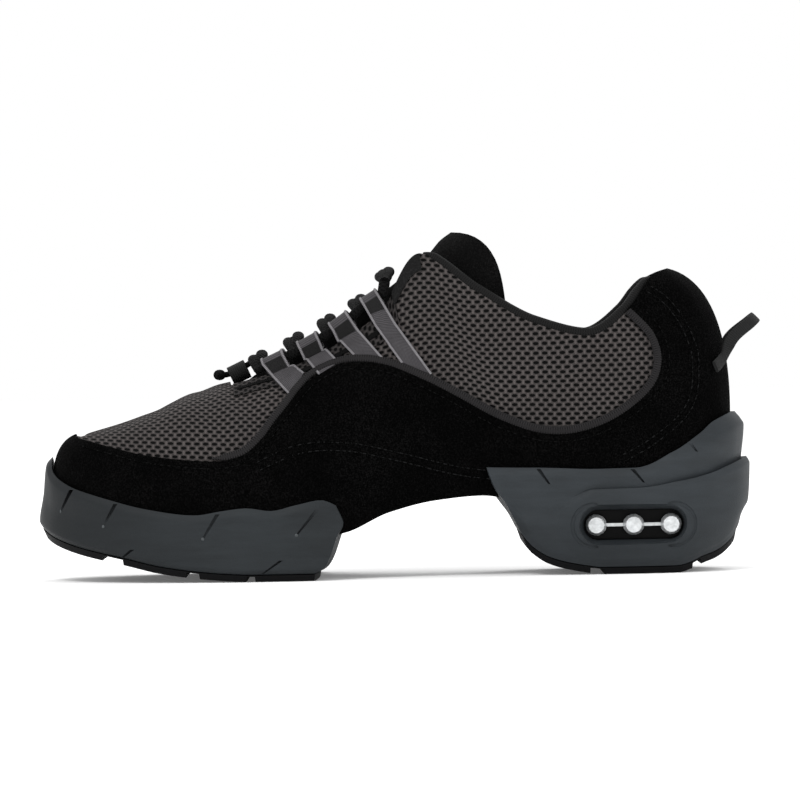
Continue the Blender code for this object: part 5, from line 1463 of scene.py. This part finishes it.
# Sole units, finer and rounder
last = outward(last_form("cut_last", FIT - 0.2 * MM, tools, CUT_DETAIL, closed=True))
forefoot, forefoot_tread = make_forefoot(last)
heel, heel_tread = make_heel(last)
make_window(heel)
make_side_slits({"forefoot": forefoot, "heel": heel})
make_tread_grooves({"forefoot": forefoot_tread, "heel": heel_tread})
settle(forefoot)
settle(heel)
bpy.context.view_layer.update()


def on_unit(unit, x, z, side):
    """Where a sole unit's side lies at a distance along and a height, and its normal there."""
    _, spot, normal, _ = unit.ray_cast(Vector((x, side * CAST_REACH, z)), Vector((0, -side, 0)))
    return np.array(spot), np.array(normal)


# Shallow recess line around the window
for side, label in SIDES:
    ring = stadium(WINDOW_LENGTH + RECESS_LENGTH, WINDOW_HEIGHT + RECESS_HEIGHT, 96)
    hits = [on_unit(heel, WINDOW_X + x, WINDOW_Z + z, side) for x, z in ring]
    rings = []
    for i, (spot, normal) in enumerate(hits):
        across = np.cross(normed(hits[(i + 1) % len(hits)][0] - hits[i - 1][0]), normal)
        rings.append([spot + across * np.cos(a) * RECESS_GROOVE[0] + normal * np.sin(a) * RECESS_GROOVE[1]
                      for a in full_turn(10)])
    boolean(heel, skin("cut_recess_" + label, rings, heel_foam, tools, closed=True), "DIFFERENCE")
settle(heel)
piece(forefoot, "moulded_sole", "sole_forefoot")
piece(heel, "moulded_sole", "sole_heel")

# Pale moulding pips at the lower ends of the slashes
pips = []
for _, along, height, lean, length in SIDE_SLITS[:4]:
    for side in (-1, 1):
        run, rise = lean_of(lean, length)
        spot, normal = on_unit(forefoot, along * SOLE_LENGTH - HEEL_TREAD_CENTRE - run * PIP_SHARE,
                               height * MM - rise * PIP_SHARE, side)
        ahead, up = (way - normal * np.dot(way, normal) for way in (np.array((1.0, 0.0, 0.0)), UP))
        rings = [[spot + normal * np.sin(tilt) * PIP_RADIUS * PIP_FLATNESS
                  + (ahead * np.cos(a) + up * np.sin(a)) * np.cos(tilt) * PIP_RADIUS
                  for a in full_turn(12)] for tilt in np.linspace(-1.45, 1.45, 7)]
        pips.append(skin(f"moulding_pip_{len(pips) + 1}", rings, pale_dot))
for pip in pips:
    piece(pip, "moulded_sole")
piece(settle(forefoot_tread), "tread_rubber", "outsole_forefoot")
piece(settle(heel_tread), "tread_rubber", "outsole_heel")
for _, label in SIDES:
    piece(settle(bpy.data.objects["window_plate_" + label]), "window_plastic", "heel_window_" + label)
    piece(settle(bpy.data.objects["window_studs_" + label]), "clear_stud", "heel_studs_" + label)

# Webbing lace loops: each one folded strap, up from the seam, round the lace and back down
eye = LACE_RADIUS + EYE_CLEARANCE
tape_half = LOOP_WALL * 0.45


def throat_row(along):
    """Row on the throat edge at a distance behind the foot of the toe wall."""
    rows = np.linspace(THROAT_ROW, CORNER_ROW, 60)
    return float(np.interp(along, [RIM_X(r) for r in rows], rows))


def eye_ends(index, side):
    """Both ends of the axis of a lace loop's eye, just over the throat edge."""
    top_x0, top_z0, top_x1, top_z1 = LACE_LOOPS[index][:4]
    ends = []
    for x, z in ((top_x0, top_z0), (top_x1, top_z1)):
        row = throat_row(x * UPPER_LENGTH)
        centre = side_point(x, z) - UP * (LACE_RADIUS + EYE_CLEARANCE + LOOP_WALL)
        centre[1] = side * (abs(RIM_Y(row)) + 0.2 * MM)
        ends.append(centre)
    return ends


def strap(name, low_edge, high_edge, out, finish):
    """A flat strap between two edges, with a thicker woven border at each side."""
    rings = []
    for a, b, n in zip(low_edge, high_edge, out):
        rings.append([a + (b - a) * share + n * tape_half * lift * face
                      for face in (1, -1) for share, lift in STRAP_SHAPE[::face]])
    return skin(name, rings, finish)


def tack(name, left, right, out):
    """The sewn stretch of a strap below its fold, narrower, and darker partly as painted shadow under the
    fold.
    """
    at = travelled((left + right) / 2)
    wanted = np.linspace(at[FOLD_START] - TACK_HEIGHT, at[FOLD_START], 9)
    near, far, face = (spread_out(wanted, at, line) for line in (left, right, out))
    face = normed(face)
    inset, lift = (far - near) * TACK_INSET, face * TACK_LIFT
    return strap(name, near + inset + lift, far - inset + lift, face, tack_shadow_cloth)


edges = []
for index, corners in enumerate(LACE_LOOPS):
    for side, label in SIDES:
        ends = eye_ends(index, side)
        feet = [side_point(*corners[4:6]), side_point(*corners[6:8])]
        left, right, out = [], [], []
        height = np.linalg.norm((ends[0] + ends[1] - feet[0] - feet[1])[[0, 2]] / 2)
        for share in np.linspace(-FOOT_TUCK / height, STRAP_RISE, FOLD_START):
            pair = []
            for foot_point, end in zip(feet, ends):
                spot = foot_point + (end - UP * 0.6 * eye - foot_point) * share
                along = along_of(spot) - TOE_OVERHANG
                spot[2] = min(spot[2], RIM_Z(throat_row(along)) - STRAP_LIFT)
                pair.append(cast(spot[0], spot[2], side, STRAP_LIFT + tape_half))
            left.append(pair[0][0])
            right.append(pair[1][0])
            out.append(pair[0][1] + pair[1][1])
        way = normed(ends[1] - ends[0])
        up = (ends[0] + ends[1]) / 2 - (left[-1] + right[-1]) / 2
        up = normed(up - way * np.dot(up, way))
        face = np.cross(way, up)
        face = face if face[1] * side > 0 or face[2] > 0.9 else -face
        for angle in np.radians(np.linspace(*EYE_SWEEP)):
            spoke = face * np.cos(angle) + up * np.sin(angle)
            left.append(ends[0] + spoke * (eye + tape_half))
            right.append(ends[1] + spoke * (eye + tape_half))
            out.append(spoke)
        left, right, out = np.array(left), np.array(right), normed(np.array(out))
        name = f"{label}_{index + 1}"
        piece(strap("webbing_loop_" + name, left, right, out, webbing), "webbing", "lace_loop_" + name)
        # sewn stretch below the fold, its dark colour partly painted shadow of the fold
        piece(tack("loop_tack_shadow_" + name, left, right, out), "webbing")
        for edge, inward in ((left, right - left), (right, left - right)):
            edges.append((edge + normed(inward) * 0.55 * MM + out * tape_half * 1.15, out))
ribbon = superellipse(0.42 * MM, 0.22 * MM, 8)
for number, edge in enumerate(edges):
    piece(bar(f"woven_edge_{number}", *edge, ribbon, selvedge), "webbing")

# Facing under the loops, along the throat edge, and the threads that hold it; its mesh is a darker copy of
# the upper's, painted shade under the lace and loops
zig_lines = []
for side, label in SIDES:
    rings = []
    for row in np.linspace(THROAT_ROW + 0.1, CORNER_ROW - 0.65, 60):
        outer = [wall(turned(row, side), level, 0.75 * MM) for level in FACING_LEVELS]
        rings.append(outer + [wall(turned(row, side), level, 0.2 * MM) for level in FACING_LEVELS[::-1]])
    piece(skin("throat_facing_" + label, rings, facing_cloth_shaded), "trim")
    rows = [turned(row, side) for row in np.linspace(THROAT_ROW + 0.2, CORNER_ROW - 0.8, 80)]
    points, normals = [wall(row, 0.9, 0.8 * MM) for row in rows], [wall_normal(row, 0.9) for row in rows]
    zig_lines.append(zigzag(points, normals, 1.1 * MM, 1.5 * MM))

# Corner patch of the throat
levels = np.linspace(*EYESTAY_LEVELS, 12)
swell = [0.35 + 0.65 * (1 - abs(2 * i / 11 - 1) ** 4) for i in range(12)]
for side, label in SIDES:
    rings = []
    for row in np.linspace(*EYESTAY_ROWS, 24):
        outer = [wall(turned(row, side), v, GAP + TRIM_THICKNESS * s) for v, s in zip(levels, swell)]
        rings.append(outer + [wall(turned(row, side), v, GAP) for v in levels[::-1]])
    piece(skin("corner_patch_" + label, rings, patch_cloth), "trim", "eyestay_" + label)


# Lace


def lace_bar(runs, x, rise, shift):
    """Points of one cord over the tongue, its middle shifted along the slope of the throat."""
    slope = (runs[0][-2] - runs[0][0]) * np.array((1.0, 0.0, 1.0))
    bow = normed(slope) * shift + UP * rise * COLLAR_WIDTH
    along = side_point(x, 0.0)[0]
    ends = []
    for run in runs:
        xs, ys, zs = np.array(run).T
        ends.append(np.array((along, np.interp(along, xs, ys), np.interp(along, xs, zs))))
    return [ends[0] + (ends[1] - ends[0]) * share + bow * 4 * share * (1 - share)
            for share in np.linspace(0, 1, 7)]


def lace_tube(name, points, radius, swell=None):
    points = np.array(smooth_line(points, len(points) * 7))
    size = None if swell is None else np.interp(np.linspace(0, 1, len(points)), *swell)
    lace_parts.append(bar(name, points, [UP] * len(points), superellipse(radius, radius * 0.86, 16, 2.1),
                          laces, size))


lace_parts = []
runs = []
for side in (-1, 1):
    points = []
    for index in range(len(LACE_LOOPS)):
        ends = eye_ends(index, side)
        points += [ends[0], (ends[0] + ends[1]) / 2, ends[1]]
    start = points[0] - (points[1] - points[0]) * 0.8
    rise = points[-1] - points[-2] + UP * LACE_RADIUS
    peak = side_point(*LACE_END)
    peak[1] = points[-1][1]
    runs.append([start, *points, points[-1] + rise * 0.3, peak])
shares, sizes = [0.0], [0.9]
for index in range(len(LACE_LOOPS)):
    shares += [(3 * index + step) / 14 for step in (1, 2, 3, 3.5)]
    sizes += [1.0, 1.0, 1.0, 1.28]
for number, run in enumerate(runs):
    lace_tube(f"lace_run_{number + 1}", run, LACE_RADIUS, ([*shares, 1.0], [*sizes, 1.35]))
for number, (x, rise, pair) in enumerate(LACE_BARS):
    girth = LACE_BAR_RADIUS * (1.3 if number == len(LACE_BARS) - 1 else 1.05)
    cords = ((3, rise, pair / 2, LACE_BAR_RADIUS), (1, rise, -pair / 2, LACE_BAR_RADIUS),
             (2, rise * 0.82, 0.0, girth))
    for cord, up, shift, radius in cords:
        points = lace_bar(runs, x, up, shift * MM)
        lace_tube(f"lace_bar_{number + 1}_{cord}", points, radius, BAR_SWELL)
        if number == 0 and cord == 1:
            crest = points[len(points) // 2]
knot = side_point(*LACE_KNOT)
front, rear = side_point(*VAMP_TAB[:2]), side_point(*VAMP_TAB[2:])
lace_tube("lace_stem", [knot, front, rear, crest], LACE_STEM_RADIUS)
ball = [knot + np.array((0, y * KNOT_RADIUS, 0)) for y in (-1.5, -0.8, 0.0, 0.8, 1.5)]
lace_tube("lace_knot", ball, KNOT_RADIUS, KNOT_SWELL)
for obj in lace_parts:
    piece(obj, "lace_cord")
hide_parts("lace")

# Tunnel tab on the vamp, deeper below the lace than above it
lift = np.cross(normed(rear - front), (0.0, -1.0, 0.0))
lift = lift if lift[2] > 0 else -lift
lift = lift * (LACE_STEM_RADIUS + GAP + LOOP_WALL)
rings, inner = [], []
for share in np.linspace(0, 1, 9):
    wide = VAMP_TAB_HALF_WIDTH * (1.0 + 0.05 * (2 * share - 1) ** 2)
    shifts = [np.array((0, np.cos(a) * wide, 0)) + lift * np.sin(a) * (1.0 if np.sin(a) > 0 else TAB_DEPTH)
              for a in full_turn(32)]
    centre = front + (rear - front) * share
    rings.append([centre + shift for shift in shifts])
    inner.append([centre + shift * 0.74 for shift in shifts])
piece(skin("vamp_tunnel", rings + inner[::-1], tab_tape, closed=True), "trim", "vamp_tab")

# Tongue: padded sheet bent over the instep
table = np.array(TONGUE_ROWS)
curves = [monotone(range(len(table)), table[:, k]) for k in range(6)]
stations = np.linspace(0, len(table) - 1, TONGUE_STATIONS)
grid = []
for t in stations:
    wing_row, level, x, z, flat, lean = (curve(t) for curve in curves)
    inset = VAMP_WALL + (COLLAR_WALL - VAMP_WALL) * ramp((6, 8))(wing_row) + TONGUE_INSET
    centre = side_point(x, z)
    strips = []
    for side in (-1, 1):
        turn = turned(wing_row, side)
        edge = wall(turn, level, -inset)
        rise = normed(bare_wall(turn, min(level + 0.05, 1.0)) - bare_wall(turn, level - 0.02))
        reach = np.linalg.norm(edge - centre)
        high = centre + np.array((lean * reach, side * flat * reach, 0.0))
        strips.append([bezier(edge, edge + rise * 0.45 * reach, high, centre, share)
                       for share in np.linspace(0.0, 1.0, 15)])
    grid.append(strips[0] + strips[1][:-1][::-1])
grid = np.array(grid)
outs = normed(np.cross(np.gradient(grid, axis=1), np.gradient(grid, axis=0)))
if outs[35, 14, 2] < 0:
    outs = -outs
width = grid.shape[1]
edge_shares = np.array([1 - abs(2 * j / (width - 1) - 1) ** 7 for j in range(width)]).clip(0.12, 1)
ripple = 0.35 * MM * np.cos(np.linspace(-np.pi, np.pi, width) * 2)
rings = []
for i, t in enumerate(stations):
    front_share, end = min(t / 5, 1.0), min(i, TONGUE_STATIONS - 1 - i) / 5
    full = TONGUE_THICKNESS * (0.4 + 0.6 * front_share) * (0.25 + 0.75 * min(end, 1.0) ** 0.6)
    upper_face = ripple * front_share * edge_shares - (1 - edge_shares) * full / 2
    lower_face = -full * (1 + edge_shares) / 2
    over, under = (grid[i] + outs[i] * face[:, None] for face in (upper_face, lower_face))
    rings.append([*over, *under[::-1]])
tongue = skin("padded_tongue", rings, velvet)
piece(tongue, "tongue_suede", "tongue")

# Pull loop
grow = OVERLAY_OUT + 2 * GAP + PULL_TAPE_THICKNESS / 2
sewn = [side_point(*share) for share in PULL_SEWN]
free = [side_point(x, z) - np.array((0, spread * COLLAR_WIDTH, 0)) for x, z, spread in PULL_FREE]
hits = [cast(p[0], p[2], -1, grow) for p in sewn]
points = [hit[0] for hit in hits] + free
plane_up = np.cross(free[-1] - sewn[0], (0.0, 1.0, 0.0))
normals = [normed(np.cross(way, plane_up)) for way in directions(points)]
normals[:2] = [hit[1] for hit in hits]
flip = np.array((1, -1, 1))
path, facing = (smooth_line(half + [p * flip for p in half[-2::-1]], 91) for half in (points, normals))
tape = superellipse(PULL_TAPE_WIDTH / 2, PULL_TAPE_THICKNESS / 2, 16, 4.0)
piece(bar("pull_loop_tape", path, facing, tape, loop_tape), "webbing", "pull_loop")

# Stitch rows
on_suede = OVERLAY_OUT + 0.05 * MM
heel_curve, midfoot_row = side_line(HEEL_STITCHES), side_line(MIDFOOT_STITCHES)
rows = [heel_curve, beside(heel_curve, 2.4 * MM), beside(midfoot_row, 0.0), beside(midfoot_row, 3.0 * MM)]
suede_rows = [on_side(row, side, on_suede) for side in (-1, 1) for row in rows]
seam_rows = [on_side(beside(seam[12:-6], 4.1 * MM), side, on_suede) for side in (-1, 1)]
piece(stitches("suede_stitches", suede_rows, thread, *STITCH), "suede")
piece(stitches("seam_stitches", seam_rows, dark_thread, *STITCH), "suede")
piece(stitches("facing_zigzag", zig_lines, dark_thread, *ZIG_STITCH), "trim")

insole = frame["nodes"]["insole"]
for slot in insole.material_slots:
    slot.link = "OBJECT"
    slot.material = sock

for obj in list(tools.objects):
    bpy.data.objects.remove(obj, do_unlink=True)
bpy.data.collections.remove(tools)

# Floor, lights and camera

floor_mesh = bpy.data.meshes.new("floor")
floor_corners = [(sx * FLOOR_REACH, sy * FLOOR_REACH, 0) for sx, sy in ((-1, -1), (1, -1), (1, 1), (-1, 1))]
floor_mesh.from_pydata(floor_corners, [], [(0, 1, 2, 3)])
floor = bpy.data.objects.new("floor", floor_mesh)
scene.objects.link(floor)
white = (1.0, 1.0, 1.0)
floor_mesh.materials.append(Shading("floor_pale", Base_Color=white, Roughness=1.0, Specular_IOR_Level=0.0,
                                    Emission_Color=white, Emission_Strength=0.1).made)
floor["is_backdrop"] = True

world = bpy.data.worlds.new("studio")
bpy.context.scene.world = world
world.use_nodes = True
background = world.node_tree.nodes["Background"]
background.inputs[0].default_value = (*white, 1.0)
background.inputs[1].default_value = 1.0

for name, spot, size, power in LAMPS:
    data = bpy.data.lights.new(name, "AREA")
    data.shape = "DISK"
    data.size = size
    data.energy = power
    lamp = bpy.data.objects.new(name, data)
    scene.objects.link(lamp)
    lamp.location = spot
    lamp.rotation_euler = (Vector(LAMP_TARGET) - Vector(spot)).to_track_quat("-Z", "Y").to_euler()

# The photograph's view: a long lens, level with the shoe, rolled by about a degree
camera_data = bpy.data.cameras.new("camera")
camera_data.sensor_width = SENSOR_WIDTH
camera_data.lens = SENSOR_WIDTH * VIEW_DISTANCE / (PHOTO_PIXELS * PHOTO_MM_PER_PIXEL * MM)
camera = bpy.data.objects.new("camera", camera_data)
scene.objects.link(camera)
towards = Vector((0.0, np.cos(VIEW_ELEVATION), -np.sin(VIEW_ELEVATION)))
camera.location = Vector(VIEW_CENTRE) - towards * VIEW_DISTANCE
level_turn = towards.to_track_quat("-Z", "Y").to_matrix()
camera.rotation_euler = (level_turn @ Matrix.Rotation(-VIEW_ROLL, 3, "Z")).to_euler()
bpy.context.scene.camera = camera
bpy.context.scene.view_settings.view_transform = "Standard"

bpy.context.view_layer.update()
boxes = [[[float(v) for v in corner] for corner in box] for box in (cad_bounds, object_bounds())]
